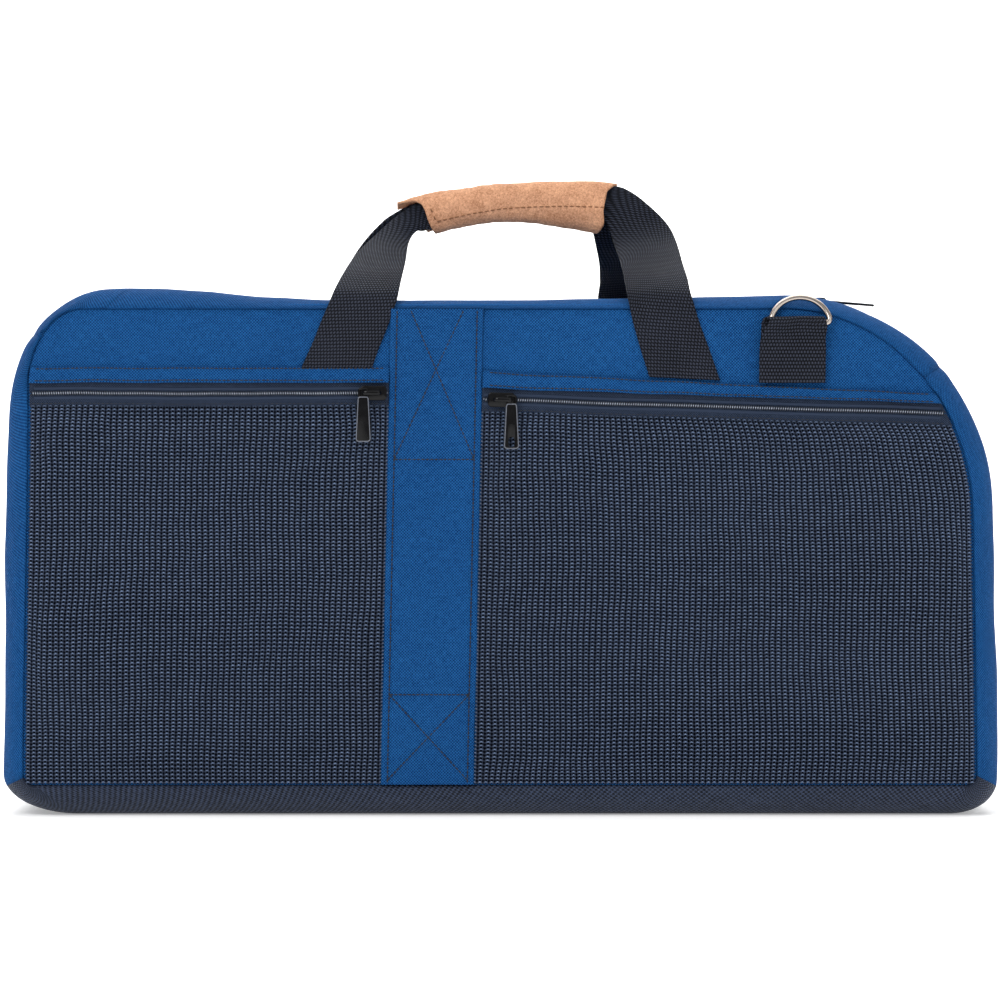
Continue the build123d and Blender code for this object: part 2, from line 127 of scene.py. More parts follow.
def build(name, points, faces, uv=None, body=None, material=None, slot=None, closed=True):
    """A mesh piece from points (N, 3), faces and UVs, one for each point. A closed piece is
    turned inside out where its signed volume, the sum of its corners' triple products, is
    below zero."""
    mesh = bpy.data.meshes.new(name)
    mesh.from_pydata(points.reshape(-1, 3).tolist(), [], list(map(list, faces)))
    if uv is not None:
        layer = mesh.uv_layers.new(name="UVMap")
        index = np.zeros(len(mesh.loops), np.int32)
        mesh.loops.foreach_get("vertex_index", index)
        layer.data.foreach_set("uv", uv.reshape(-1, 2)[index].astype(np.float32).ravel())
    mesh.polygons.foreach_set("use_smooth", np.ones(len(mesh.polygons), bool))
    if closed:
        mesh.calc_loop_triangles()
        found = np.zeros(len(mesh.loop_triangles) * 3, np.int32)
        mesh.loop_triangles.foreach_get("vertices", found)
        a, b, c = points.reshape(-1, 3)[found.reshape(-1, 3)].swapaxes(0, 1)
        if (a * np.cross(b, c)).sum() < 0:
            mesh.flip_normals()
    mesh.update()
    piece = bpy.data.objects.new(name, mesh)
    bpy.context.scene.collection.objects.link(piece)
    if material:
        mesh.materials.append(material)
    if body:
        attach(piece, body)
    return piece


def quads(rows, columns, wrap_rows=False, wrap_columns=False):
    """Faces of a grid of points; a wrapped side joins its last line to its first."""
    r = np.arange(rows if wrap_rows else rows - 1)
    c = np.arange(columns if wrap_columns else columns - 1)
    r, c = np.meshgrid(r, c, indexing="ij")
    r2, c2 = (r + 1) % rows, (c + 1) % columns
    faces = np.stack([r * columns + c, r * columns + c2, r2 * columns + c2, r2 * columns + c], -1)
    return faces.reshape(-1, 4)


def cloth(points, rests_on=()):
    """Size of a grid of cloth's cut, worked out and not kept: it was cut as long and as wide as
    its longest lines, and its cut is as large as its cells added up."""
    wide = max(lengths(points, 1)[:, -1].max(), NARROWEST_CUT)
    long = max(lengths(points, 0)[-1].max(), NARROWEST_CUT)
    round(min(grid_area(points), wide * long), 6)


def grid_area(points):
    """Area of a grid's cells."""
    a, b = points[1:, 1:] - points[:-1, :-1], points[1:, :-1] - points[:-1, 1:]
    return np.linalg.norm(np.cross(a, b), axis=-1).sum() / 2


def run_along(line):
    """Distance from a line's first point to each of its points."""
    return np.concatenate([[0], np.cumsum(np.linalg.norm(np.diff(line, axis=0), axis=1))])


def read_at(at, run, line):
    """Points of a line at distances along it."""
    return np.stack([np.interp(at, run, line[:, k]) for k in range(line.shape[1])], -1)


def lengths(points, axis):
    """Distance run along one axis of a grid, from its first line."""
    step = np.linalg.norm(np.diff(points, axis=axis), axis=-1)
    return np.concatenate([np.zeros_like(step.take([0], axis)), np.cumsum(step, axis)], axis)


def grid_normals(points):
    """Unit normals of a grid, from the directions along its rows and columns."""
    return unit(np.cross(np.gradient(points, axis=1), np.gradient(points, axis=0)))


def sheet(name, points, outward, thick=0.0, uv=None, **settings):
    """Cloth from a grid (rows, columns, 3). Its faces look the way of outward, one direction
    or one for each point. Solidify grows its thickness the other way, so the grid is the
    outer face."""
    if uv is None:
        uv = np.stack([lengths(points, 1), lengths(points, 0)], -1)
    if (grid_normals(points) * outward).sum() < 0:
        points, uv = points[:, ::-1], uv[:, ::-1]
    rows, columns = points.shape[:2]
    piece = build(name, points, quads(rows, columns), uv, closed=False, **settings)
    if thick:
        wall = piece.modifiers.new("thickness", "SOLIDIFY")
        wall.thickness = thick
        wall.offset = -1
        wall.use_even_offset = False
    return piece


def tube(name, path, radius, up, sides=10, closed=False, **settings):
    """Round tube: a circle of the given radius, or an (a, b) pair of radii, carried along a
    path (N, 3). up is a direction that the path never runs along."""
    path = np.asarray(path, float)
    if closed:
        ahead, behind = np.roll(path, -1, 0), np.roll(path, 1, 0)
        along = unit(ahead - behind)
    else:
        along = unit(np.gradient(path, axis=0))
    side = unit(np.cross(along, np.broadcast_to(up, path.shape)))
    rise = np.cross(side, along)
    wide, high = (radius if isinstance(radius, tuple) else (radius, radius))
    wide, high = np.broadcast_to(wide, len(path)), np.broadcast_to(high, len(path))
    angle = np.arange(sides) * 2 * PI / sides
    ring = path[:, None] + side[:, None] * (np.cos(angle)[:, None] * wide[:, None, None])
    ring = ring + rise[:, None] * (np.sin(angle)[:, None] * high[:, None, None])
    faces = quads(len(path), sides, wrap_rows=closed, wrap_columns=True)
    points = ring.reshape(-1, 3)
    if not closed:
        tips = np.array([path[0], path[-1]])
        first, last = len(points), len(points) + 1
        c = np.arange(sides)
        n = (c + 1) % sides
        start = np.stack([np.full(sides, first), n, c], -1)
        base = (len(path) - 1) * sides
        stop = np.stack([np.full(sides, last), base + c, base + n], -1)
        points = np.vstack([points, tips])
        caps = np.vstack([start, stop])
        return build(name, points, [*faces.tolist(), *caps.tolist()], **settings)
    return build(name, points, faces, **settings)


def threads(name, rows, ups, wide, high, stand=None, shares=(0.55, 1.0, 0.55, 0.0), **settings):
    """Many four-sided cords at once: rows (cords, samples, 3) of centre points; ups is the
    direction of each cord's front; wide and high are its half widths. stand, from 0 to 1 at
    each sample, goes into the UV map, whole on the front edge, in part on the sides and not at
    all on the back edge; the crest-lit finish turns it into painted highlight and painted shade."""
    along = unit(np.gradient(rows, axis=1))
    side = unit(np.cross(along, np.broadcast_to(ups, rows.shape)))
    rise = np.cross(side, along)
    ring = np.stack([rows + side * wide, rows + rise * high, rows - side * wide, rows - rise * high], 2)
    cords, samples = rows.shape[:2]
    one = quads(samples, 4, wrap_columns=True)
    ends = np.array([[3, 2, 1, 0], [samples * 4 - 4, samples * 4 - 3, samples * 4 - 2, samples * 4 - 1]])
    one = np.vstack([one, ends])
    faces = (one[None] + (np.arange(cords) * samples * 4)[:, None, None]).reshape(-1, 4)
    uv = None if stand is None else (stand[..., None] * shares)[..., None] * [1, 0]
    return build(name, ring.reshape(-1, 3), faces, uv, **settings)


def plate(name, outline, low, high, edge, place, hole=None, **settings):
    """Flat plate with rounded edges. outline and hole are (N, 2) loops run anticlockwise;
    rings step round the edge by quarter circles of radius edge. place maps (a, b, h) to 3D."""
    def rings(line, inward):
        ahead = np.roll(line, -1, 0) - np.roll(line, 1, 0)
        normal = unit(np.stack([ahead[:, 1], -ahead[:, 0]], -1)) * inward
        turns = np.linspace(0, PI / 2, 4)
        found = [(line - normal * edge * (1 - np.sin(t)), low + edge * (1 - np.cos(t))) for t in turns]
        found += [(line - normal * edge * (1 - np.cos(t)), high - edge * (1 - np.sin(t))) for t in turns]
        return [np.column_stack([p, np.full(len(p), h)]) for p, h in found]

    loops = rings(outline, 1)
    if hole is not None:
        loops = loops + rings(hole, -1)[::-1]
    points = np.array(loops)
    count = points.shape[1]
    faces = quads(len(loops), count, wrap_rows=hole is not None, wrap_columns=True).tolist()
    if hole is None:
        faces.append(list(range(count))[::-1])
        faces.append([(len(loops) - 1) * count + k for k in range(count)])
    world = place(points.reshape(-1, 3))
    return build(name, world, faces, **settings)


def mapped(origin, first, second):
    """A place function: local (a, b, h) goes along first, second and their cross product."""
    first, second = unit(np.array(first, float)), unit(np.array(second, float))
    axes = np.stack([first, second, np.cross(first, second)])
    return lambda points: np.asarray(origin, float) + points @ axes


STITCH_RINGS = np.array([(-1, 0.25), (-0.6, 0.85), (0, 1.0), (0.6, 0.85), (1, 0.25)])


def stitching(name, lines, facing, body, material, slot, pitch=3.2 * MM, long=2.7 * MM, thick=0.5 * MM):
    """Rows of thread stitches: each line (N, 3) carries short tapered beads, a pitch apart,
    half sunk in the cloth. facing is the direction out of the cloth."""
    middles, ways = [], []
    for line in lines:
        line = np.asarray(line, float)
        run = run_along(line)
        count = max(1, int(run[-1] / pitch))
        at = (np.arange(count) + 0.5) * run[-1] / count
        middles.append(read_at(at, run, line))
        ways.append(unit(read_at(at + 1 * MM, run, line) - read_at(at - 1 * MM, run, line)))
    middle, way = np.vstack(middles), np.vstack(ways)
    out = np.broadcast_to(np.asarray(facing, float), way.shape)
    side = unit(np.cross(way, out))
    angle = np.arange(6) * 2 * PI / 6
    x = STITCH_RINGS[:, 0][None, :, None, None] * long / 2 * way[:, None, None]
    wide = STITCH_RINGS[:, 1][None, :, None, None]
    y = wide * np.cos(angle)[None, None, :, None] * thick * side[:, None, None]
    z = wide * np.sin(angle)[None, None, :, None] * thick * out[:, None, None]
    points = middle[:, None, None] + x + y + z
    rings = len(STITCH_RINGS)
    start = (np.arange(len(middle)) * rings * 6)[:, None, None]
    walls = (quads(rings, 6, wrap_columns=True) + start).tolist()
    caps = (np.array([[5, 4, 3, 2, 1, 0], (rings - 1) * 6 + np.arange(6)]) + start).tolist()
    faces = [face for wall, cap in zip(walls, caps) for face in wall + cap]
    build(name, points.reshape(-1, 3), faces, body=body, material=material, slot=slot)


# ---- finishes ------------------------------------------------------------------------
class Shade:
    """A shader socket that arithmetic works on; an expression adds its Math nodes."""

    def __init__(self, tree, socket):
        self.tree, self.socket = tree, socket

    def math(self, operation, other=None):
        node = self.tree.nodes.new("ShaderNodeMath")
        node.operation = operation
        for slot, value in enumerate((self, other)):
            if isinstance(value, Shade):
                self.tree.links.new(value.socket, node.inputs[slot])
            elif value is not None:
                node.inputs[slot].default_value = value
        return Shade(self.tree, node.outputs[0])

    def swapped(self, operation, other):
        node = self.tree.nodes.new("ShaderNodeMath")
        node.operation = operation
        node.inputs[0].default_value = other
        self.tree.links.new(self.socket, node.inputs[1])
        return Shade(self.tree, node.outputs[0])

    def __add__(self, other):
        return self.math("ADD", other)

    def __sub__(self, other):
        return self.math("SUBTRACT", other)

    def __mul__(self, other):
        return self.math("MULTIPLY", other)

    def __truediv__(self, other):
        return self.math("DIVIDE", other)

    def __pow__(self, other):
        return self.math("POWER", other)

    def __rsub__(self, other):
        return self.swapped("SUBTRACT", other)

    def __neg__(self):
        return self.swapped("SUBTRACT", 0.0)

    __radd__ = __add__
    __rmul__ = __mul__

    def sine(self):
        return self.math("SINE")

    def size(self):
        return self.math("ABSOLUTE")


def srgb(red, green, blue):
    """Linear colour of an sRGB triple from 0 to 255."""
    values = np.array([red, green, blue]) / 255
    values = np.where(values <= 0.04045, values / 12.92, ((values + 0.055) / 1.055) ** 2.4)
    return (*values.tolist(), 1.0)


class Finish:
    """One material: a Principled shader, and a method that adds any other node."""

    def __init__(self, name, **constants):
        self.material = bpy.data.materials.new(name)
        self.material.use_nodes = True
        self.tree = self.material.node_tree
        self.shader = self.tree.nodes["Principled BSDF"]
        for socket, value in constants.items():
            self.shader.inputs[socket.replace("_", " ")].default_value = value

    def node(self, kind, settings=None, output=0, **sockets):
        """A node of a kind, its settings first and then its sockets; gives one output."""
        node = self.tree.nodes.new("ShaderNode" + kind)
        for key, value in (settings or {}).items():
            if key == "stops":
                ramp = node.color_ramp
                while len(ramp.elements) < len(value):
                    ramp.elements.new(0.5)
                for element, (place, colour) in zip(ramp.elements, value):
                    element.position, element.color = place, colour
            else:
                setattr(node, key, value)
        for key, value in sockets.items():
            socket = node.inputs[int(key[1:])] if key[0] == "i" and key[1:].isdigit() else node.inputs[key]
            if isinstance(value, Shade):
                self.tree.links.new(value.socket, socket)
            else:
                socket.default_value = value
        return Shade(self.tree, node.outputs[output])

    def split(self, vector):
        node = self.tree.nodes.new("ShaderNodeSeparateXYZ")
        self.tree.links.new(vector.socket, node.inputs[0])
        return [Shade(self.tree, node.outputs[k]) for k in range(3)]

    def join(self, *parts):
        return self.node("CombineXYZ", **{"XYZ"[k]: part for k, part in enumerate(parts)})

    def place(self, kind="UV"):
        return self.node("TexCoord", output={"UV": 2, "Object": 3}[kind])

    def noise(self, vector, scale, detail=2.0, rough=0.5):
        return self.node("TexNoise", Vector=vector, Scale=scale, Detail=detail, Roughness=rough)

    def blend(self, share, low, high):
        """Colour between two colours by a share."""
        return self.node("Mix", {"data_type": "RGBA"}, output=2, i0=share, i6=low, i7=high)

    def spread(self, value, low, high, start=0.0, end=1.0):
        ends = {"From Min": low, "From Max": high, "To Min": start, "To Max": end}
        return self.node("MapRange", Value=value, **ends)

    def feed(self, socket, value):
        self.tree.links.new(value.socket, self.shader.inputs[socket])

    def bump(self, height, distance, strength=1.0):
        self.feed("Normal", self.node("Bump", Height=height, Distance=distance, Strength=strength))


def plain_weave(finish, u, v, pitch, streak):
    """Over-and-under weave: the product of two sine waves says which thread is on top, and
    each thread has its own tone from noise stretched along it."""
    across, along = u / pitch, v / pitch
    over = (across * PI).sine() * (along * PI).sine()
    warp = finish.noise(finish.join(across * 1.3, along * streak, 0.0), 1.0, 1.0)
    weft = finish.noise(finish.join(across * streak, along * 1.3, 3.7), 1.0, 1.0)
    tone = finish.node("Mix", {"data_type": "FLOAT"}, i0=finish.spread(over, -0.25, 0.25), i2=warp, i3=weft)
    return over, tone


def woven_cloth(name, dark, light, pitch, clouding=0.06, bump=0.35, rough=(0.62, 0.8), streak=0.2, knot_shading=0.5,
                **constants):
    """Coated nylon cloth in a plain weave, with soft random clouds of lighter and darker tone and threads of their
    own tones.
    Threads that stand high are painted lighter and those that lie low darker: painted highlight and shade on the
    weave.
    """
    finish = Finish(name, **constants)
    u, v, _ = finish.split(finish.place())
    over, tone = plain_weave(finish, u, v, pitch, streak)
    clouds = finish.noise(finish.place("Object"), 14.0, 3.0)
    # the raised threads (over above nought) are painted lighter and the low ones darker: painted highlight and shade
    threads_share = finish.spread(tone + over * knot_shading, 0.42 - knot_shading * 0.55, 0.58 + knot_shading * 0.55)
    share = threads_share * (1 - clouding) + (clouds - 0.5) * 4 * clouding
    finish.feed("Base Color", finish.blend(finish.node("Clamp", Value=share), srgb(*dark), srgb(*light)))
    finish.feed("Roughness", finish.spread(tone, 0.2, 0.8, rough[1], rough[0]))
    finish.bump(over + tone * 1.2, bump * pitch)
    return finish.material


BLUE = woven_cloth("blue_nylon_cloth", (0, 34, 84), (36, 102, 166), 1.12 * MM, Specular_IOR_Level=0.06)
BASE = woven_cloth("base_ballistic_cloth", (4, 8, 20), (66, 78, 104), 1.9 * MM, bump=0.5, rough=(0.35, 0.6),
                   knot_shading=0.7, Specular_IOR_Level=0.2)
LINING = woven_cloth("grey_lining_cloth", (86, 90, 98), (128, 132, 140), 0.6 * MM, Specular_IOR_Level=0.15)
TAPE = woven_cloth("zip_tape_cloth", (20, 29, 44), (52, 64, 86), 0.9 * MM, Specular_IOR_Level=0.12)
# a near-black cloth laid behind the pocket nets: painted shade for the dark inside of the pockets
PAINTED_SHADE_CLOTH = woven_cloth("pocket_painted_shade_cloth", (5, 8, 17), (12, 18, 33), 0.9 * MM, Specular_IOR_Level=0.08)


def webbing_cloth(name, dark, light):
    """Nylon webbing: staggered rows of raised knuckles, every other row moved half a step.
    The knuckles' tops are painted lighter and the dips between them darker: painted highlight and shade.
    """
    finish = Finish(name, Specular_IOR_Level=0.15)
    u, v, _ = finish.split(finish.place())
    across, along = u / (2.3 * MM), v / (2.7 * MM)
    row = along.math("FLOOR")
    shift = row.math("MODULO", 2.0) * 0.5
    knuckle = ((across + shift) * PI).sine().size() * (along * PI).sine().size()
    fibres = finish.noise(finish.join(across * 1.4, along * 6.0, 0.0), 1.0, 2.0)
    clouds = finish.noise(finish.place("Object"), 30.0, 2.0)
    # painted highlight on the knuckles' tops and painted shade in the dips between them
    share = finish.spread(knuckle * (0.55 + fibres * 0.9) + (clouds - 0.5) * 0.3, 0.1, 1.0)
    finish.feed("Base Color", finish.blend(share, srgb(*dark), srgb(*light)))
    finish.feed("Roughness", finish.spread(knuckle, 0.0, 1.0, 0.85, 0.5))
    finish.bump(knuckle + fibres * 0.25, 0.9 * MM)
    return finish.material


WEBBING = webbing_cloth("black_webbing", (3, 4, 8), (56, 61, 76))


def cord_finish(name, dark, light, rough, **constants):
    """Coated cord: a smooth dark skin whose tone drifts from cord to cord."""
    finish = Finish(name, Roughness=rough, **constants)
    place = finish.place("Object")
    fine, broad = finish.noise(place, 700.0, 2.0), finish.noise(place, 22.0, 2.0)
    share = finish.spread(fine * 0.55 + broad * 0.45, 0.3, 0.7)
    finish.feed("Base Color", finish.blend(share, srgb(*dark), srgb(*light)))
    finish.bump(fine, 0.15 * MM)
    return finish.material


def crest_lit_cord(name, dark, light, **constants):
    """Coated cord with painted light: its UV gives how far each point stands forward, and its colour
    runs from painted shade in a dark valley (0) to a painted highlight on a bright crest (1)."""
    finish = Finish(name, **constants)
    stand, _, _ = finish.split(finish.place())
    fine = finish.noise(finish.place("Object"), 260.0, 2.0)
    crest = finish.node("Clamp", Value=stand) ** 1.8
    share = finish.node("Clamp", Value=crest * (0.3 + fine * 1.3))
    finish.feed("Base Color", finish.blend(share, srgb(*dark), srgb(*light)))
    finish.feed("Roughness", finish.spread(crest, 0.0, 1.0, 0.6, 0.35))
    finish.bump(fine, 0.15 * MM)
    return finish.material


# the net's cords are painted bright on their crests and dark in their valleys: painted highlight and shade
NET = crest_lit_cord("pocket_net_cord", (12, 22, 42), (122, 142, 176), Specular_IOR_Level=0.25)
# the coil's turns are painted bright on their outward crests: painted highlight
COIL = crest_lit_cord("zip_coil_nylon", (14, 19, 30), (176, 184, 200), Specular_IOR_Level=0.3)
THREAD = cord_finish("navy_thread", (8, 10, 18), (24, 26, 36), 0.6)
BROWN_THREAD = cord_finish("brown_thread", (118, 78, 48), (150, 102, 66), 0.65)
FUZZ = cord_finish("hook_and_loop", (34, 29, 26), (66, 57, 50), 0.9, Sheen_Weight=0.3)


def enamel(name, colour, rough, **constants):
    """Glossy enamel over cast metal, with fine orange peel and rubbed spots."""
    finish = Finish(name, **constants)
    place = finish.place("Object")
    peel, rub = finish.noise(place, 900.0, 1.0), finish.noise(place, 120.0, 4.0)
    finish.feed("Roughness", finish.spread(rub, 0.35, 0.75, rough[0], rough[1]))
    finish.feed("Base Color", finish.blend(finish.spread(rub, 0.5, 0.9), srgb(*colour),
                                           srgb(*[c + 14 for c in colour])))
    finish.bump(peel, 0.02 * MM, 0.5)
    return finish.material


SLIDER = enamel("black_enamel", (3, 3, 5), (0.06, 0.18), Coat_Weight=0.08, Coat_Roughness=0.05,
                Specular_IOR_Level=0.2)
# light grey enamel for the pull's rim: a painted highlight along the pull's edges
RIM_HIGHLIGHT = enamel("rim_highlight_enamel", (92, 96, 106), (0.15, 0.3), Specular_IOR_Level=0.5)
NICKEL = enamel("nickel_plate", (178, 168, 160), (0.08, 0.24), Metallic=1.0)


def suede_finish():
    """Suede: a matt nap in mottled tans, darker where it is brushed, with short fibres."""
    finish = Finish("tan_suede", Specular_IOR_Level=0.15, Sheen_Weight=0.35, Sheen_Roughness=0.6,
                    Sheen_Tint=srgb(235, 200, 165))
    place = finish.place("Object")
    nap, blotch = finish.noise(place, 1500.0, 2.0, 0.7), finish.noise(place, 90.0, 3.0, 0.6)
    grain = finish.noise(place, 620.0, 3.0, 0.7)
    share = finish.spread(nap * 0.3 + blotch * 0.25 + grain * 0.45, 0.38, 0.62)
    finish.feed("Base Color", finish.blend(share, srgb(158, 108, 78), srgb(226, 172, 136)))
    finish.feed("Roughness", finish.spread(grain, 0.3, 0.7, 0.95, 0.8))
    finish.bump(nap * 0.6 + grain, 0.45 * MM)
    return finish.material


def board_finish():
    """Pebbled plastic sheet."""
    finish = Finish("stiffener_sheet", Roughness=0.55)
    place = finish.place("Object")
    pebble = finish.node("TexVoronoi", Vector=place, Scale=600.0)
    finish.feed("Base Color", finish.blend(pebble, srgb(40, 42, 46), srgb(64, 66, 70)))
    finish.bump(pebble, 0.1 * MM)
    return finish.material


SUEDE = suede_finish()
BOARD = board_finish()


# ---- the case ------------------------------------------------------------------------
def outline(u, full):
    """Points (x, z) of the case's outline. u runs 0 to 8 anticlockwise from the front, one
    unit for each straight side and each corner, starting at the left end of the bottom;
    full goes from 0 at the front seam to 1. Sides are straight lines between the corners,
    and each corner is a quarter of an ellipse. The sides lean in by a hundredth upwards."""
    u, full = np.broadcast_arrays(np.asarray(u, float) % 8, full)
    side = SEAM_SIDE + (HALF_LENGTH - SEAM_SIDE) * full
    top = SEAM_TOP + (HEIGHT - SEAM_TOP) * full
    foot = SEAM_FOOT * (1 - full)
    curve = SEAM_CORNERS[:, :, None] + (FULL_CORNERS - SEAM_CORNERS)[:, :, None] * full.ravel()
    wide, high = curve[:, 0].reshape(4, *full.shape), curve[:, 1].reshape(4, *full.shape)
    centre_x = np.stack([side - wide[0], side - wide[1], wide[2] - side, wide[3] - side])
    centre_z = np.stack([foot + high[0], top - high[1], top - high[2], foot + high[3]])
    piece = u.astype(int)
    t = u - piece
    turn = piece // 2
    angle = (turn - 1 + t) * PI / 2

    def pick(table, k):
        return np.take_along_axis(table, k[None] % 4, 0)[0]

    arc_x = pick(centre_x, turn) + pick(wide, turn) * np.cos(angle)
    arc_z = pick(centre_z, turn) + pick(high, turn) * np.sin(angle)
    first, last = pick(centre_x, turn + 3), pick(centre_x, turn)
    first_z, last_z = pick(centre_z, turn + 3), pick(centre_z, turn)
    end = (turn - 1) * PI / 2
    start_x = first + pick(wide, turn + 3) * np.cos(end)
    start_z = first_z + pick(high, turn + 3) * np.sin(end)
    line_x = start_x + (last + pick(wide, turn) * np.cos(end) - start_x) * t
    line_z = start_z + (last_z + pick(high, turn) * np.sin(end) - start_z) * t
    on_arc = piece % 2 == 1
    z = np.where(on_arc, arc_z, line_z)
    return np.where(on_arc, arc_x, line_x) * (1.003 - 0.011 * smooth(0, 0.33, z)), z


def find_u(low, high, value, axis, full=1.0):
    """Place on the outline, between two u, where x (axis 0) or z (axis 1) has a value."""
    u = np.linspace(low, high, 4001)
    line = outline(u, np.full(u.shape, full))[axis]
    return u[np.argmin(np.abs(line - value))]


MARKS = {"foot_right": find_u(1, 2, SEAM_FOOT * 0.9, 1), "end_right": find_u(2, 4, END_SEAM_RIGHT, 1),
         "flap_right": find_u(4, 5, FLAP_RIGHT, 0), "middle": find_u(4, 5, -0.05, 0),
         "flap_left": find_u(4, 5, FLAP_LEFT, 0), "end_left": find_u(5, 7, END_SEAM_LEFT, 1),
         "foot_left": find_u(7, 8, SEAM_FOOT * 0.9, 1)}


def columns(spacing):
    """Values of u round the whole outline about a spacing apart, with every mark on one,
    and the column number of each mark. The base's middle is where they start."""
    names = list(MARKS)
    stops = [0.5] + [MARKS[n] for n in names] + [8.5]
    found, index = [], {}
    for k, (low, high) in enumerate(zip(stops[:-1], stops[1:])):
        fine = np.linspace(low, high, 600)
        x, z = outline(fine, np.ones(600))
        run = np.concatenate([[0], np.cumsum(np.hypot(np.diff(x), np.diff(z)))])
        count = max(2, int(run[-1] / spacing))
        found.append(np.interp(np.linspace(0, run[-1], count, endpoint=False), run, fine))
        if k < len(names):
            index[names[k]] = sum(len(f) for f in found)
    return np.concatenate(found + [[8.5]]), index


U, MARK = columns(4.2 * MM)
V_EDGE = np.linspace(0, 1, 26) ** 1.25
V_FLAT = np.linspace(BAND_DEPTH[-1], FLAP_EDGE, 19)[1:]


def band_row(depth_y, full):
    """One line round the case: outline points at a depth and fullness, with the seam's own
    small waver where the case is least full and the top's sag where it is most full."""
    x, z = outline(U, full)
    tops = smooth(0.33, 0.37, z) * full * (0.3 + 0.7 * smooth(0.012, 0.07, abs(depth_y)))
    z = z + tops * np.interp(x, TOP_SAG_X, TOP_SAG)
    low = smooth(0.012, 0.045, abs(depth_y))
    z = z - (1 - low) * smooth(0.38, 0.386, z) * MM
    return np.stack([x, np.full(x.shape, depth_y), z], -1)


def case_band():
    """The cloth round the case as a grid: rows go from the front seam over the fullest part
    to the back seam, and columns run round the outline. Each row is an ellipse-cornered
    outline at its own depth; a smooth curve through BAND_FULL and BAND_DEPTH gives the roll
    beside the seam. Soft waves, and puckers that die away from the seam, move it along its
    normal."""
    roll = through(np.stack([BAND_FULL, BAND_DEPTH], -1), V_EDGE)
    near = np.concatenate([-roll[:, 1], -V_FLAT])
    middle = np.linspace(-FLAP_EDGE, FLAP_EDGE, 7)[1:-1]
    depth = np.concatenate([near, middle, -near[::-1]])
    fill = np.concatenate([roll[:, 0], np.ones(len(V_FLAT))])
    full = np.concatenate([fill, np.ones(len(middle)), fill[::-1]])
    points = np.array([band_row(y, f) for y, f in zip(depth, full)])
    normal = grid_normals(points)
    if (normal * (points - [0, 0, 0.19])).sum() < 0:
        normal = -normal
    seam = np.minimum(np.abs(depth - depth[0]), np.abs(depth - depth[-1]))[:, None]
    run = lengths(points, 1)[10]
    rng = np.random.default_rng(5)
    pucker = np.zeros(points.shape[:2])
    for length, share in ((17, 0.2), (29, 0.35), (52, 0.5)):
        phase = rng.uniform(0, 2 * PI, 2)
        warp = 3 * np.sin(run / (61 * MM) + phase[0])
        pucker += share * np.sin(2 * PI * run / (length * MM) + phase[1] + warp)[None]
    pucker = pucker * np.exp(-seam / (9 * MM)) * smooth(0, 5 * MM, seam)
    soft = waves(points, 0.17, 11) * 1.3 + waves(points, 0.07, 12) * 0.5
    soft = soft * smooth(2 * MM, 26 * MM, seam)
    sides = 1 - smooth(0.37, 0.38, points[..., 2]) * 0.55
    low = smooth(0.002, 0.02, points[..., 2])
    lift = (pucker * 0.5 + soft * sides) * low
    for name in ("end_right", "end_left"):
        away = np.abs(run - run[MARK[name]])[None]
        lift = lift - 0.7 * np.exp(-(away / (2.6 * MM)) ** 2) + 0.3 * np.exp(-((away - 7 * MM) / (5 * MM)) ** 2)
    return points + normal * lift[..., None] * MM, normal


BAND, BAND_NORMAL = case_band()
HALF = len(V_EDGE) + len(V_FLAT)
BAND_OUT = BAND - np.array([0, 0, 0.19])
BAND_OUT[..., 1] = 0
BAND_UV = np.stack([np.broadcast_to(lengths(BAND, 1)[HALF], BAND.shape[:2]),
                    lengths(BAND, 0)[:, [0]] + 0 * BAND[..., 0]], -1)

# the line beside the main zip that its gutter hangs from, and the way out of the case there
GUTTER_SIDE = BAND[HALF - 1] * [1, 0, 1]
GUTTER_UP = unit(BAND_NORMAL[HALF - 1] * [1, 0, 1])


def gutter_depth():
    """How far the main zip's tape lies under the cloth beside it, at each column: down to the
    tape's own height between the flaps, and less by a smooth step towards the end seams."""
    down = GUTTER_SIDE[:, 2] - TAPE_TOP
    run = lengths(BAND, 1)[HALF]
    for end, flap in (("end_right", "flap_right"), ("end_left", "flap_left")):
        low, high = sorted((MARK[end], MARK[flap]))
        share = np.abs(run[low:high + 1] - run[MARK[end]]) / abs(run[MARK[flap]] - run[MARK[end]])
        down[low:high + 1] = 2.2 * MM + (down[MARK[flap]] - 2.2 * MM) * smooth(0, 1, share)
    return down


GUTTER = gutter_depth()


def folded(points, outward, uv, columns):
    """The grid with a lip on its last row: the cloth turns a small quarter circle towards
    the zip, then goes down to the tape."""
    up, down = GUTTER_UP[columns], GUTTER[columns][:, None]
    towards = -np.sign(points[-1, 0, 1]) * np.array([0, 1, 0])
    rows = [(0.5, 0.12), (1.0, 0.5), (1.2, 1.2)]
    lip = [points[-1] + towards * a * MM - up * b * MM for a, b in rows]
    lip += [points[-1] + towards * (1.2 - 0.5 * t) * MM - up * (1.2 * MM + (down - 0.9 * MM) * t)
            for t in (0.5, 1.0)]
    lip_uv = [uv[-1] + [0, d * MM] for d in (0.5, 1.1, 1.9, 3.4, 5.0)]
    outward = np.concatenate([outward, [outward[-1]] * len(lip)])
    return np.concatenate([points, lip]), outward, np.concatenate([uv, lip_uv])


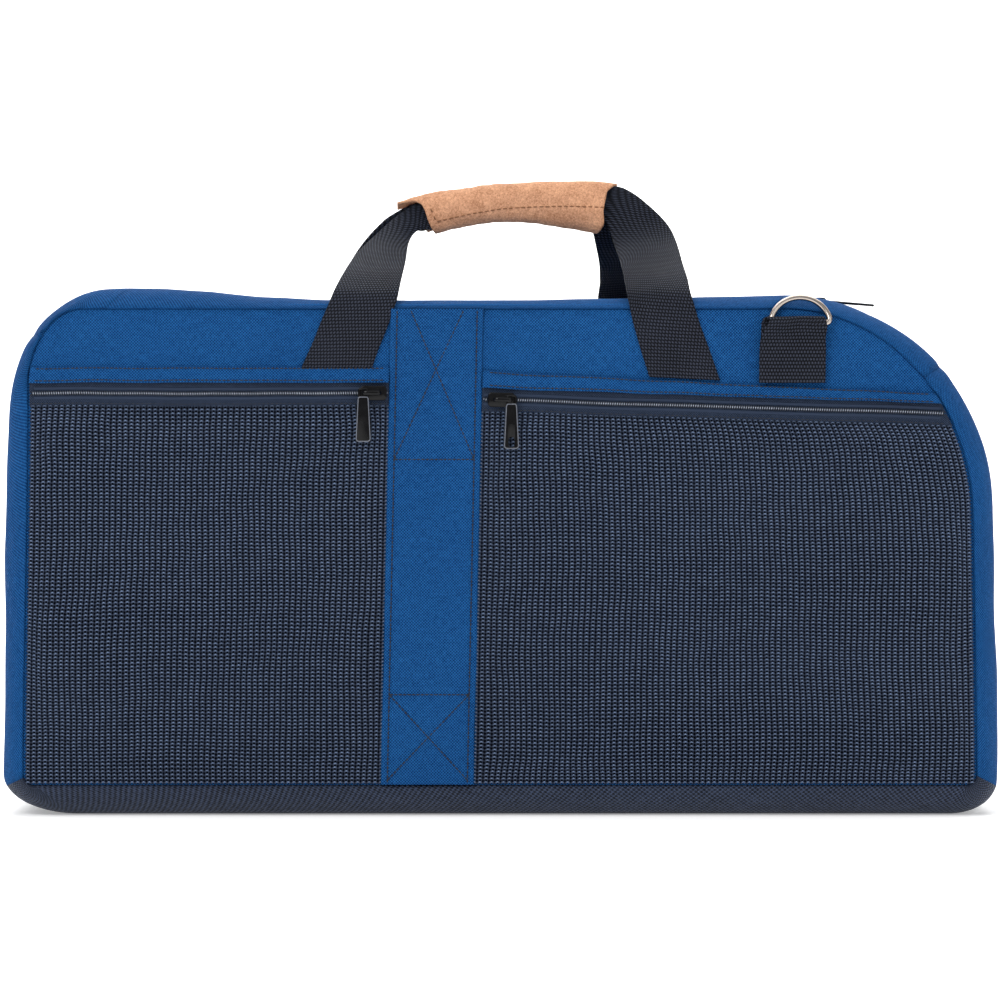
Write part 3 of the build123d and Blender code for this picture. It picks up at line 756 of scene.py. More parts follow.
def band_piece(name, node, rows, first, last, material, slot, thick=1.6 * MM, body="bag", lip=False):
    """A part of the case's band between two columns and two rows, as cloth."""
    grids = BAND, BAND_OUT, BAND_UV
    if first < last:
        cut = [grid[rows, first:last + 1] for grid in grids]
    else:
        cut = [np.concatenate([grid[rows, first:-1], grid[rows, :last + 1]], 1) for grid in grids]
        cut[2][:, -(last + 1):, 0] += BAND_UV[0, -1, 0]
    if lip:
        cut = folded(*cut, slice(first, last + 1))
    points, outward, uv = cut
    piece = sheet(name, points, outward, thick, uv=uv, body=body, material=material, slot=slot)
    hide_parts(node)
    cloth(points)
    return piece


def crossing(end):
    """Two points on the top line at one end of the flap: the end, and one 80 mm towards the middle."""
    x, reach = (FLAP_RIGHT, -0.08) if end == "right" else (FLAP_LEFT, 0.08)
    return (x, 0, HEIGHT), (x + reach, 0, HEIGHT)


EVERY = slice(None)
FRONT = slice(0, HALF)
BACK = slice(None, len(BAND) - HALF - 1, -1)
band_piece("base_cloth", "bottom_panel", EVERY, MARK["foot_left"], MARK["foot_right"], BASE, "base_fabric")
GUSSET_ENDS = {"right": (MARK["foot_right"], MARK["end_right"]), "left": (MARK["end_left"], MARK["foot_left"])}
for end, marks in GUSSET_ENDS.items():
    band_piece(f"{end}_gusset_cloth", f"{end}_gusset", EVERY, *marks, BLUE, "blue_nylon")
TOP_ENDS = {"right": (MARK["end_right"], MARK["flap_right"]), "left": (MARK["flap_left"], MARK["end_left"])}
for side, rows in (("front", FRONT), ("back", BACK)):
    for end in ("left", "right"):
        band_piece(f"{side}_top_end_{end}_cloth", f"top_end_{end}", rows, *TOP_ENDS[end], BLUE, "blue_nylon",
                   lip=True)
    for end, marks in (("right", ("flap_right", "middle")), ("left", ("middle", "flap_left"))):
        half = band_piece(f"{side}_flap_{end}_half", f"{side}_top_flap", rows, *(MARK[mark] for mark in marks),
                          BLUE, "blue_nylon", body=None, lip=True)
        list(crossing(end))
        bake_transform(half)


def wall_panel(name, node, edge, sign):
    """Front (sign -1) or back wall: rings shrink from the seam to a pole in the middle. It
    stands out from the seam by a smooth step, and behind the pockets it lies a little back."""
    share = 1 - np.concatenate([[0, 0.006, 0.013, 0.022, 0.034], np.linspace(0.05, 1, 34) ** 0.9])
    share[-1] = 0.0004
    pole = np.array([-0.05, 0, 0.2])
    points = pole + (edge[None] - pole) * share[:, None, None]
    away = (1 - share)[:, None] * np.linalg.norm((edge - pole)[None][..., [0, 2]], axis=-1)
    stand = 1.7 * smooth(0, 7 * MM, away) + 0.35 * waves(points, 0.09, 21 + sign) * smooth(0, 20 * MM, away)
    if sign < 0:
        stand = stand - 0.9 * smooth(0.336, 0.326, points[..., 2]) * smooth(0, 7 * MM, away)
    points[..., 1] = edge[None, :, 1] + sign * stand * MM
    uv = points[..., [0, 2]]
    outward = (0, sign, 0)
    piece = sheet(name, points, outward, 1.6 * MM, uv=uv, body="bag", material=BLUE, slot="blue_nylon")
    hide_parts(node)


wall_panel("front_wall_cloth", "front_panel", BAND[0], -1)
wall_panel("back_wall_cloth", "back_panel", BAND[-1], 1)


# ---- front pockets -------------------------------------------------------------------
def strap_edge(z, sign):
    """X of the centre strap's left (-1) or right (1) edge at a height."""
    low, high = corner("centre_strap", 0), corner("centre_strap", 1)
    half = 34.5 * MM
    share = (z - low[2]) / (high[2] - low[2])
    return low[0] + half + share * (high[0] - low[0] - 2 * half) + sign * half


SEAM_LINE = {1: outline(np.linspace(1.9, 4.2, 900), np.zeros(900)),
             -1: outline(np.linspace(7.1, 4.9, 900), np.zeros(900))}


def seam_x(z, sign):
    """X of the front seam on one side at a height."""
    x, height = SEAM_LINE[sign]
    return np.interp(z, height, x)


class Pocket:
    """One front pocket between the centre strap (share 0) and the side seam (share 1).
    Heights run in straight lines between the two ends."""

    def __init__(self, side, sign, welt, coil):
        self.side, self.sign, self.welt, self.coil = side, sign, welt, coil

    def height(self, ends, share):
        return (ends[0] + (ends[1] - ends[0]) * share) * MM

    def across(self, share, z, inset=0.0):
        near = strap_edge(z, self.sign)
        far = seam_x(z, self.sign) - self.sign * inset
        return near + (far - near) * share


LEFT = Pocket("left", -1, ((333, 333), (321, 321)), (313, 313))
RIGHT = Pocket("right", 1, ((330, 313), (317, 305.5)), (308.4, 298))


def strip(pocket, name, node, stations, top, low, inset, material, slot, thick, count=130, seed=1):
    """A sewn strip across the pocket: a smooth profile of (share of height, depth) stations
    is carried along it, and it wavers a little like sewn cloth."""
    share = np.linspace(0, 1, count)
    profile = through(stations, np.linspace(0, 1, 4 * len(stations)))
    high, foot = pocket.height(top, share), pocket.height(low, share)
    z = foot + (high - foot) * profile[:, :1]
    x = pocket.across(share[None] * np.ones_like(z), z, inset)
    y = -profile[:, 1:] * MM + 0 * x
    points = np.stack([x, y, z], -1)
    points[..., 2] += waves(points * [1, 0, 0.2], 0.06, seed) * 0.45 * MM
    points[..., 1] += waves(points, 0.05, seed + 1) * 0.16 * MM
    piece = sheet(name, points, (0, -1, 0), thick, body="bag", material=material, slot=slot)
    if node:
        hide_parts(node)
    cloth(points)
    return points


def zip_coil(name, node, path, up, body, out, pitch=1.7 * MM, wide=1.5 * MM, high=0.85 * MM, thick=0.4 * MM,
             blend=None):
    """Closed zip coil: a flattened helix of thick thread about a line of points, one turn
    for each tooth."""
    run = run_along(path)
    turns = int(run[-1] / pitch)
    at = np.linspace(0, run[-1], turns * 8)
    centre = read_at(at, run, path)
    angle = np.arange(len(at)) * 2 * PI / 8
    up, out = np.array(up, float), np.array(out, float)
    if out.ndim == 2:
        out = unit(read_at(at, run, out))
    helix = centre + up * (wide * np.sin(angle))[:, None] + out * (high * np.cos(angle))[:, None]
    # the outward crest of each turn is painted bright: a painted highlight on the coil
    stand = np.clip(np.cos(angle), 0, 1) ** 4
    piece = threads(name, helix[None], [0.92, 0.1, 0.37], thick, thick, stand[None], (1, 1, 1, 1),
                    body=None if blend else body, material=COIL, slot="zip_coil")
    if blend:
        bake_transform(piece)
    if node:
        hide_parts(node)
    return piece


def pocket_net(pocket):
    """Coarse net of coated cords. Across cords weave over one down cord and under the next,
    so each is a wave in depth and height; down cords lie straight. The net is fullest in
    the middle and comes down to its sewn edges, and soft waves sway it."""
    top = tuple(c - 8.2 for c in pocket.coil)
    width = abs(seam_x(0.15, pocket.sign) - strap_edge(0.15, pocket.sign))
    down = int(width / (2.15 * MM))
    rows = int((top[0] * MM - SEAM_FOOT) / (2.7 * MM))

    def surface(a, b):
        high = pocket.height(top, a)
        z = high + (SEAM_FOOT + 0.6 * MM - high) * b
        x = pocket.across(a, z, 1.4 * MM)
        edge = np.minimum(a, 1 - a) * width
        foot, head = (1 - b) * 0.28, b * 0.28
        inside = smooth(0, 16 * MM, edge) * smooth(0, 22 * MM, foot) * smooth(0, 16 * MM, head)
        place = np.stack([x, 0 * x, z], -1)
        depth = 105.9 + 3.6 * inside + 0.9 * inside * waves(place, 0.11, 31)
        depth = depth + 0.4 * inside * waves(place, 0.045, 32)
        x = x + 1.5 * MM * inside * waves(place, 0.1, 33) + 0.4 * MM * inside * waves(place, 0.03, 36)
        z = z + 1.5 * MM * inside * waves(place, 0.12, 34) + 0.35 * MM * inside * waves(place, 0.03, 35)
        return np.stack([x, -depth * MM, z], -1)

    step = np.arange(2 * down + 1)
    a, b = np.meshgrid(step / (2 * down), (np.arange(rows) + 0.5) / rows)
    swing = np.cos(step * PI / 2)
    points = surface(a, b)
    points[..., 1] -= 0.6 * MM * swing
    points[..., 2] += 0.6 * MM * swing
    half = rows // 2
    a, b = np.meshgrid((np.arange(down) + 0.5) / down, np.linspace(0, 1, 44), indexing="ij")
    uprights = surface(a, b)
    uprights[..., 1] += 0.15 * MM
    # the down cords lie behind and get a fixed low share of the painted highlight
    down_cords = threads(f"{pocket.side}_net_down_cords", uprights, [0, -1, 0], 0.3 * MM, 0.3 * MM,
                         np.full(uprights.shape[:2], 0.35), body="bag", material=NET, slot="pocket_mesh")
    size = surface(np.array([0, 1, 0.5, 0.5]), np.array([0.5, 0.5, 0, 1.0]))
    # across cords are painted lighter where they swing forward and darker where they dip back: painted highlight and
    # shade
    stand = np.broadcast_to(0.5 + 0.5 * swing, points.shape[:2])
    # a dark sheet just behind the net: painted shade that darkens the net's holes
    a, b = np.meshgrid(np.linspace(0.004, 0.996, 60), np.linspace(0.002, 0.996, 40))
    back = surface(a, b)
    back[..., 1] = np.minimum(back[..., 1] + 2.6 * MM, -105.5 * MM)
    shade = sheet(f"{pocket.side}_pocket_back", back, (0, -1, 0), 0.3 * MM, body="bag",
                  material=PAINTED_SHADE_CLOTH, slot="pocket_mesh")
    cloth(back, ["front_panel"])
    for name, part in (("upper", slice(0, half)), ("lower", slice(half, None))):
        piece = threads(f"{pocket.side}_net_{name}_cords", points[part], [0, -1, 0], 0.62 * MM, 0.5 * MM,
                        stand[part], body="bag", material=NET, slot="pocket_mesh")
        going = [down_cords] if name == "upper" else []
        if name == "upper":
            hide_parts(f"{pocket.side}_mesh_pocket")


SEWN_TOP = [(1.0, 105.1), (0.95, 106.4), (0.8, 107.2), (0.55, 107.8), (0.25, 108.5), (0.06, 109.1),
            (-0.01, 109.0), (0.0, 108.2), (0.12, 107.7)]
WELT_STITCH_ROWS = (7, 20)
for pocket in (LEFT, RIGHT):
    side = pocket.side
    seed = 40 if side == "left" else 60
    welt = strip(pocket, f"{side}_welt_cloth", f"{side}_welt", SEWN_TOP, *pocket.welt, 0.6 * MM, BLUE,
                 "blue_nylon", 0.8 * MM, seed=seed)
    coil = np.array(pocket.coil)
    tape_high = tuple(w - 3 for w in pocket.welt[0])
    strip(pocket, f"{side}_upper_tape_cloth", f"{side}_upper_tape",
          [(1, 106.3), (0.5, 106.7), (0.15, 107.0), (0.03, 107.3), (0, 107.0)], tape_high, tuple(coil + 0.2),
          1.0 * MM, TAPE, "zip_tape", 0.7 * MM, seed=seed + 3)
    strip(pocket, f"{side}_lower_tape_cloth", f"{side}_lower_tape",
          [(1, 107.0), (0.95, 107.3), (0.6, 107.1), (0.2, 107.2), (0.02, 107.3), (0, 106.7)],
          tuple(coil - 0.2), tuple(coil - 9.0), 1.2 * MM, TAPE, "zip_tape", 0.7 * MM, seed=seed + 3)
    share = np.linspace(0.004, 0.996, 300)
    z = pocket.height(coil, share)
    middle = np.stack([pocket.across(share, z, 1.5 * MM), 0 * z - 107.9 * MM, z], -1)
    middle[:, 2] += waves(middle * [1, 0, 0.2], 0.06, seed + 3) * 0.45 * MM
    zip_coil(f"{side}_coil_helix", f"{side}_coil", middle, (0, 0, 1), "bag", (0, -1, 0))
    for k, off in enumerate((3.4, -3.4)):
        shoulder = middle + [0, 0.75 * MM, off * MM]
        tube(f"{side}_coil_rib_{k}", shoulder[::3], (1.3 * MM, 0.5 * MM), (0, -1, 0), sides=8, body="bag",
             material=TAPE, slot="zip_tape")
    lines = [welt[row, 2:-2] + [0, -0.3 * MM, 0] for row in WELT_STITCH_ROWS]
    foot = middle + [0, 0.45 * MM, -7.6 * MM]
    stitching(f"{side}_welt_stitches", lines, (0, -1, 0), "bag", THREAD, "webbing")
    stitching(f"{side}_tape_stitches", [foot], (0, -1, 0), "bag", THREAD, "zip_tape", long=2.3 * MM,
              thick=0.3 * MM)
    pocket_net(pocket)


def centre_strap():
    """Flat strap down the front: straight lines between its slanting edges, crowned a
    little, with edges rolled under by a quarter circle; X stitching at both ends."""
    high = np.linspace(corner("centre_strap", 1)[2] + 0.4 * MM, corner("centre_strap", 0)[2] - 0.4 * MM, 150)
    turn = np.linspace(PI / 2, 0, 5)
    cross = np.concatenate([-34.5 + 1.2 * (1 - np.sin(turn)), np.linspace(-33.2, 33.2, 21)[1:-1],
                            34.5 - 1.2 * (1 - np.sin(turn))[::-1]])
    depth = np.concatenate([105.5 + 2.0 * np.cos(turn), np.full(19, 107.5), 105.5 + 2.0 * np.cos(turn)[::-1]])
    middle = (strap_edge(high, 1) + strap_edge(high, -1)) / 2
    cross = np.broadcast_to(cross * MM, (150, 29)) + 0 * high[:, None]
    points = np.stack([middle[:, None] + cross, -depth * MM + 0 * cross, high[:, None] + 0 * cross], -1)
    flat = smooth(34.5, 28, np.abs(cross) / MM)
    crown = 0.35 * flat + 0.28 * flat * waves(points, 0.08, 71) + 0.16 * waves(points, 0.03, 72) * flat
    row = np.exp(-((np.abs(cross) / MM - 29.6) / 1.1) ** 2) * 0.35
    points[..., 1] -= (crown - row) * MM
    points[..., 0] += 0.5 * MM * waves(points * [0, 1, 1], 0.09, 73)
    piece = sheet("centre_strap_cloth", points, (0, -1, 0), 1.4 * MM, body="bag",
                  material=BLUE, slot="blue_nylon")
    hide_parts("centre_strap")
    cloth(points)

    def on_strap(across, z):
        return np.stack([(strap_edge(z, 1) + strap_edge(z, -1)) / 2 + across, 0 * z - 108.1 * MM, z], -1)

    foot, top, inner = corner("centre_strap", 0)[2], corner("centre_strap", 1)[2], 29.6 * MM
    full = np.linspace(foot + 1 * MM, top - 1 * MM, 60)
    lines = [on_strap(inner * s + 0 * full, full) for s in (-1, 1)]
    for low, high in ((264 * MM, 397 * MM), (foot + 3 * MM, 90 * MM)):
        z = np.linspace(low, min(high, top - 1 * MM), 30)
        share = (z - low) / (high - low) * 2 - 1
        lines += [on_strap(inner * share * s, z) for s in (-1, 1)]
        flat = np.linspace(-inner, inner, 20)
        ends = [low] if high > 0.2 else [high]
        lines += [on_strap(flat, 0 * flat + z) for z in ends]
    stitching("centre_strap_stitches", lines, (0, -1, 0), "bag", THREAD, "webbing", long=2.8 * MM)


centre_strap()


# ---- sliders and pulls ----------------------------------------------------------------
def rounded_loop(x0, x1, half, radius, count=48):
    """Anticlockwise loop of a rectangle with rounded corners."""
    turn = np.linspace(0, PI / 2, count // 4)
    corners = [(x1 - radius, -half + radius, -PI / 2), (x1 - radius, half - radius, 0),
               (x0 + radius, half - radius, PI / 2), (x0 + radius, -half + radius, PI)]
    return np.concatenate([np.stack([x + radius * np.cos(turn + a), z + radius * np.sin(turn + a)], -1)
                           for x, z, a in corners])


def slider(name, node, body, place, half, coil_high):
    """Zip slider, lying along local x: a domed roof with a waist, two flanges beside the
    coil, and an arched bail from end to end of the roof."""
    low, roof = (coil_high + 0.4) * MM, (coil_high + 2.0) * MM
    loop = rounded_loop(-10 * MM, 10 * MM, half, 3.2 * MM, 64)
    waist = 1 - 0.16 * np.exp(-((loop[:, 0] + 1.5 * MM) / (5 * MM)) ** 2)
    loop = loop * np.stack([np.ones(64), waist], -1)
    top = plate(name + "_roof", loop, low, roof, 0.6 * MM, place, body=body, material=SLIDER,
                slot="slider_metal")
    for sign in (-1, 1):
        flange = rounded_loop(-8.5 * MM, 8.5 * MM, 0.75 * MM, 0.6 * MM, 32) + [0, sign * (half - 0.85 * MM)]
        plate(f"{name}_flange_{'a' if sign < 0 else 'b'}", flange, 0.5 * MM, low + 0.3 * MM, 0.25 * MM, place,
              body=body, material=SLIDER, slot="slider_metal")
    rise = roof + 4.0 * MM
    arch = through([(-5.4 * MM, roof - 0.4 * MM), (-5.2 * MM, roof + 2.2 * MM), (-3.6 * MM, rise - 0.2 * MM),
                    (0, rise + 0.1 * MM), (5.6 * MM, rise), (7.4 * MM, roof + 2.8 * MM),
                    (7.6 * MM, roof - 0.4 * MM)], np.linspace(0, 1, 40))
    path = place(np.stack([arch[:, 0], 0 * arch[:, 0], arch[:, 1]], -1))
    ahead_and_out = (place(np.array([[0.3, 0, 1.0]])) - place(np.zeros((1, 3))))[0]
    tube(name + "_bail", path, (1.55 * MM, 0.62 * MM), ahead_and_out, sides=14, body=body, material=SLIDER,
         slot="slider_metal")
    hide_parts(node)


def pull(name, node, body, place, width, slot_hole):
    """Pull tab, its blade along local x: a rounded plate with a raised rim, a slot near its
    end where there is one, and a wire eye round the bail. The rim is light grey: a painted
    highlight along the pull's edges."""
    half, thick = width / 2 * MM, 0.8 * MM
    blade = rounded_loop(2.4 * MM, 36.3 * MM, half, 2.6 * MM, 96)
    taper = 1 - 0.28 * smooth(30 * MM, 4 * MM, blade[:, 0])
    blade = blade * np.stack([np.ones(len(blade)), taper], -1)
    hole = rounded_loop(27.4 * MM, 35.0 * MM, 2.2 * MM, 2.15 * MM, 96) if slot_hole else None
    plate(name + "_blade", blade, -thick, thick, 0.5 * MM, place, hole=hole, body=body, material=SLIDER,
          slot="slider_metal")
    rim = rounded_loop(3.0 * MM, 35.7 * MM, half - 0.6 * MM, 2.0 * MM, 80)
    rim = rim * np.stack([np.ones(80), 1 - 0.28 * smooth(30 * MM, 4 * MM, rim[:, 0])], -1)
    path = place(np.column_stack([rim, np.full(80, thick * 0.8)]))
    out = (place(np.array([[0, 0, 1.0]])) - place(np.zeros((1, 3))))[0]
    # the rim's light grey is a painted highlight
    tube(name + "_rim", path, (0.45 * MM, 0.4 * MM), out, sides=8, closed=True, body=body, material=RIM_HIGHLIGHT,
         slot="slider_metal")
    eye = rounded_loop(-3.1 * MM, 3.1 * MM, 3.1 * MM, 1.2 * MM, 40)
    path = place(np.column_stack([eye, np.zeros(40)]))
    ring = tube(name + "_eye", path, (0.8 * MM, 0.78 * MM), out, sides=10, closed=True, body=body,
                material=SLIDER, slot="slider_metal")
    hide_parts(node)


def joint_at(name):
    """Where a joint's axis passes, from the record."""
    for joint in frame["record"]["behaviour"]["joints"]:
        if joint["name"] == name:
            return np.array(joint["pos_m"], float)
    raise ValueError(name)


for side, sign, hole in (("left", -1, False), ("right", 1, True)):
    hang = joint_at(f"{side}_pull_swing")
    fall = math.atan2(298.0 - 308.4, 352 + 13) if sign > 0 else 0.0
    ahead = np.array([math.cos(fall), 0, math.sin(fall)]) * sign
    centre = np.array([hang[0] - ahead[0] * 7.5 * MM, -107 * MM, hang[2] - ahead[2] * 7.5 * MM])
    slider(f"{side}_slider_metal", f"{side}_slider", f"{side}_slider",
           mapped(centre, ahead, np.cross([0, -1, 0], ahead)), 5.5 * MM, 2.5)
    pull(f"{side}_pull_metal", f"{side}_pull", f"{side}_pull",
         mapped(hang, (0, 0, -1), np.cross([0, -1, 0], [0, 0, -1])), 11.5, hole)

hang = joint_at("main_pull_hinge")
main_centre = np.array([hang[0] - 5.2 * MM, 0, corner("front_main_tape", 1)[2]])
slider("main_slider_metal", "main_slider", "main_slider", mapped(main_centre, (1, 0, 0), (0, 1, 0)),
       7.0 * MM, 3.0)
# how far the main pull droops, which leaves it clear of the coil at the left end
DROP = math.radians(5)
along = np.array([math.cos(DROP), 0, -math.sin(DROP)])
pull("main_pull_metal", "main_pull", "main_pull", mapped(hang + along * 3.1 * MM, along, (0, 1, 0)),
     12.0, False)


# ---- handle straps and grip -----------------------------------------------------------
GRIP_TOP = np.array([(-82, 460.4), (-69, 465.4), (-57.5, 468.5), (-34.5, 472.2), (-11.5, 474.8), (11.5, 476.9),
                     (34.5, 478.3), (57.5, 478.2), (80, 477.2), (92, 475.5)])
GRIP_LOW = np.array([(-82, 433), (-60, 436), (-46, 438.6), (-34.5, 441.6), (-23, 444), (-11.5, 446.2), (0, 447.2),
                     (11.5, 447.2), (23, 446.2), (34.5, 444.7), (46, 442.4), (57.5, 440.4), (69, 438.6), (80, 437.4),
                     (92, 436.5)])
LEG_LEAN = through([(300, 107), (340, 107), (374, 107), (384, 105.4), (392, 99.5), (404, 80), (420, 45), (434, 17),
                    (446, 7), (460, 4.5), (480, 4)], np.linspace(0, 1, 200))


def even(line):
    """The same curve with its points an equal distance apart."""
    run = run_along(line)
    return read_at(np.linspace(0, run[-1], len(line)), run, line)


def leg(name, outer, inner, side, shift):
    """One leg of a handle strap, a ruled sheet between its outer and inner edge lines: it
    lies on the case wall, bends over the top seam and rises to the grip. Its edges curl
    back towards the grip, and soft waves and a thick selvage keep it from looking flat."""
    share = np.linspace(0, 1, 110)
    outer, inner = np.array(outer, float), np.array(inner, float)
    left, right = (even(through(line, share)) for line in (outer, inner))
    across = np.linspace(0, 1, 19)
    flat = left[:, None] + (right - left)[:, None] * across[None, :, None]
    x, z = flat[..., 0], flat[..., 1]
    x = x + shift * np.interp(z, [360, 395, 405, 450, 465], [1.3, 1.2, 1.0, 0.9, 0.4])
    lean = np.interp(z, LEG_LEAN[:, 0], LEG_LEAN[:, 1])
    high = smooth(388, 440, z)
    bow = (1 - (2 * across[None] - 1) ** 2)
    depth = lean + high * (bow - 0.6) * 2.4
    points = np.stack([x, side * depth, z], -1) * MM
    points[..., 0] += 0.7 * MM * waves(points, 0.07, 81)
    points[..., 1] += side * 0.7 * MM * waves(points, 0.05, 82) * smooth(385, 400, z) * (1 - 0.7 * high)
    piece = sheet(name, points, (0, side, 0.2), 2.2 * MM, material=WEBBING, slot="webbing")
    cloth(points, ["front_panel" if side < 0 else "back_panel"])
    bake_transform(piece)
    return piece


LEFT_OUTER = [(-147, 331.5), (-140, 348), (-133.3, 364), (-126, 380), (-119.6, 397.5), (-112.3, 413.6),
              (-107, 422.5), (-97.6, 433.6), (-82, 449), (-72, 456.5), (-63, 461.5), (-52, 462.5)]
LEFT_INNER = [(-94.8, 331.8), (-90.2, 345.3), (-85.9, 356), (-81.4, 368.6), (-76.7, 383), (-75, 393), (-71, 416),
              (-68, 433), (-62, 440.5), (-52, 441), (-42, 444)]
RIGHT_OUTER = [(163, 322.5), (155.5, 345), (148, 366), (142.5, 383), (140.4, 391), (139.6, 399), (137, 415),
               (134, 431), (130.5, 441), (124, 450), (113.5, 460), (103.5, 468), (93, 473.5), (82, 474), (68, 469)]
RIGHT_INNER = [(111, 325), (103.8, 347), (98.2, 366.7), (95.2, 383), (92.4, 403), (88.5, 422.8), (83.5, 441),
               (79, 448), (72, 451), (62, 452)]
for side, name, shifts in ((-1, "front", (0.0, 0.0)), (1, "back", (-7.5, -13.5))):
    first = leg(f"{name}_strap_left_leg", LEFT_OUTER, LEFT_INNER, side, shifts[0])
    leg(f"{name}_strap_right_leg", RIGHT_OUTER, RIGHT_INNER, side, shifts[1])
    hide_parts(f"{name}_strap")


def grip_skin(name, ends, angles, body, offset, material, slot, thick=1.8 * MM, rows=90, count=46):
    """Suede or strip round the handle: each row is part of an oval whose height runs between
    fifth-degree curves fitted to the grip's top and lower lines, and whose ends are cut
    where the end lines say. Soft waves dent it."""
    theta = np.radians(np.linspace(*angles, count))
    left = np.interp(np.degrees(theta), *np.array(ends[0], float).T)
    right = np.interp(np.degrees(theta), *np.array(ends[1], float).T)
    x = left + (right - left) * np.linspace(0, 1, rows)[:, None]
    top, low = (np.polyval(np.polyfit(*line.T, 5), x) for line in (GRIP_TOP, GRIP_LOW))
    middle, half = (top + low) / 2, (top - low) / 2
    squash = np.abs(np.cos(theta)) ** 0.86 * np.sign(np.cos(theta))
    y = -(11.6 + offset) * np.sin(theta) * (1 + 0 * x)
    z = middle + (half + offset) * squash
    points = np.stack([x, y, z], -1) * MM
    bump = 0.55 * waves(points, 0.035, 91) + 0.3 * waves(points, 0.014, 92)
    out = np.stack([0 * x, -np.sin(theta) + 0 * x, np.cos(theta) + 0 * x], -1)
    points = points + out * bump[..., None] * MM
    piece = sheet(name, points, out, thick, body=body, material=material, slot=slot)
    cloth(points, ["front_strap"])
    return piece, points


FRONT_ENDS = ([(-60, -79), (0, -79), (18, -76), (38, -66), (60, -60), (90, -56.5), (135, -52), (172, -49)],
              [(-60, 89), (0, 90), (30, 86), (50, 82), (75, 80.5), (95, 79), (120, 79.6), (150, 76), (172, 73.6)])
flap, flap_grid = grip_skin("grip_flap_suede", FRONT_ENDS, (-48, 172), "grip_flap", 0.2, SUEDE, "suede")
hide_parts("grip_flap")
wrap, _ = grip_skin("grip_wrap_suede", ([(-252, -54), (-150, -56), (-90, -68), (-44, -77)],
                                        [(-252, 72), (-150, 78), (-90, 84), (-44, 88)]),
                    (-252, -44), "grip", -2.9, SUEDE, "suede")
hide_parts("grip_wrap")
STRIP_ENDS = ([(-260, -46), (180, -46)], [(-260, 68), (180, 68)])
for strip_name, angles, body, offset in (("hook_strip", (112, 160), "grip_flap", -1.65),
                                         ("loop_strip", (-248, -200), "grip", -2.3)):
    fuzz, _ = grip_skin(f"{strip_name}_fuzz", STRIP_ENDS, angles, body, offset, FUZZ, "hook_and_loop", 0.55 * MM)
    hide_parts(strip_name)


def grip_line(stations, lift=0.25):
    """Points on the flap's face: its own grid read where x and z match the stations."""
    stations = through(stations, np.linspace(0, 1, 60)) * MM
    flat = flap_grid[:, flap_grid.shape[1] // 3:].reshape(-1, 3)
    near = [flat[np.argmin((flat[:, 0] - x) ** 2 + (flat[:, 2] - z) ** 2)] for x, z in stations]
    found = np.array([(x, p[1], z) for (x, z), p in zip(stations, near)])
    for _ in range(3):
        found[1:-1, 1] = (found[:-2, 1] + 2 * found[1:-1, 1] + found[2:, 1]) / 4
    return found + [0, -lift * MM, 0]


stitching("grip_stitches", [grip_line([(-48.8, 446.5), (-26.5, 451.5), (-8, 454.9), (11, 457.1), (48, 458.2),
                                       (80.5, 457.5)]),
                            grip_line([(-48.8, 446.5), (-51, 452), (-53.4, 457.7)])],
          (0, -1, 0.1), "grip_flap", BROWN_THREAD, "suede", pitch=4.6 * MM, long=3.3 * MM, thick=0.55 * MM)


# ---- shoulder strap rings --------------------------------------------------------------
def ring_wire(name, node, body, centre, lean):
    """D-ring: a straight bar whose ends turn into a round crown, swept by a round wire."""
    turn = np.linspace(math.radians(-18), math.radians(198), 60)
    crown = np.stack([22.2 * np.cos(turn), 22.0 * np.sin(turn)], -1)
    crown[:, 1] += 20.4 - crown[:, 1].max()
    keep = crown[crown[:, 1] > 3.6]
    bend = np.linspace(0, 1, 10)[1:]
    right = through([keep[0], keep[0] + [-0.1, -1.6], keep[0] + [-1.2, -3.2], (18.3, 0), (16.5, 0)], bend)[::-1]
    left = (right * [-1, 1])[::-1]
    loop = np.vstack([np.stack([np.linspace(-15.5, 15.5, 14), np.zeros(14)], -1), right, keep, left]) * MM
    path = centre + np.stack([loop[:, 0], -loop[:, 1] * math.sin(lean), loop[:, 1] * math.cos(lean)], -1)
    piece = tube(name, path, 2.15 * MM, (0, -math.cos(lean), -math.sin(lean)), sides=20, closed=True, body=body,
                 material=NICKEL, slot="nickel")
    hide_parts(node)


def ring_tab(name, node, sign, centre):
    """Webbing tab: one strip runs up from the seam, over the ring's bar and down behind
    itself. Its cross width narrows towards the bar, where it gathers in small folds."""
    stations = np.array([(109.2, 320.5), (109.5, 327), (109.6, 338), (110.6, 347), (112.6, 354), (115.2, 360),
                         (116.3, 364.5), (115.0, 368.6), (111.5, 369.6), (107.6, 367.4), (106.5, 360), (106.6, 345),
                         (106.7, 330), (106.7, 322)])
    share = np.linspace(0, 1, 110)
    line = through(stations, share)
    width = np.interp(share, [0, 0.22, 0.42, 0.5, 0.6, 0.72, 1.0], [49, 49, 46, 42, 41, 46, 49])
    across = np.linspace(-0.5, 0.5, 25)
    x = centre[0] / MM + sign * 6 * np.interp(share, [0, 0.3, 0.5, 0.7, 1], [1, 0.9, 0.35, 0.9, 1])[:, None] \
        + width[:, None] * across[None]
    z = line[:, 1:] + 0 * x
    gather = np.exp(-((share[:, None] - 0.42) / 0.13) ** 2)
    y = line[:, :1] + gather * (0.9 * np.sin(across[None] * 13 + share[:, None] * 9) * 0.8)
    z = z + gather * 1.6 * np.sin(across[None] * 5.5 + 0.6) * smooth(330, 350, z)
    points = np.stack([x, sign * y, z], -1) * MM
    outward = np.stack([0 * x, sign * np.gradient(line[:, 1])[:, None] + 0 * x,
                        -np.gradient(line[:, 0])[:, None] + 0 * x], -1)
    piece = sheet(name, points, outward, 2.2 * MM, body="bag", material=WEBBING, slot="webbing")
    cloth(points, ["front_panel" if sign < 0 else "back_panel"])
    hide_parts(node)


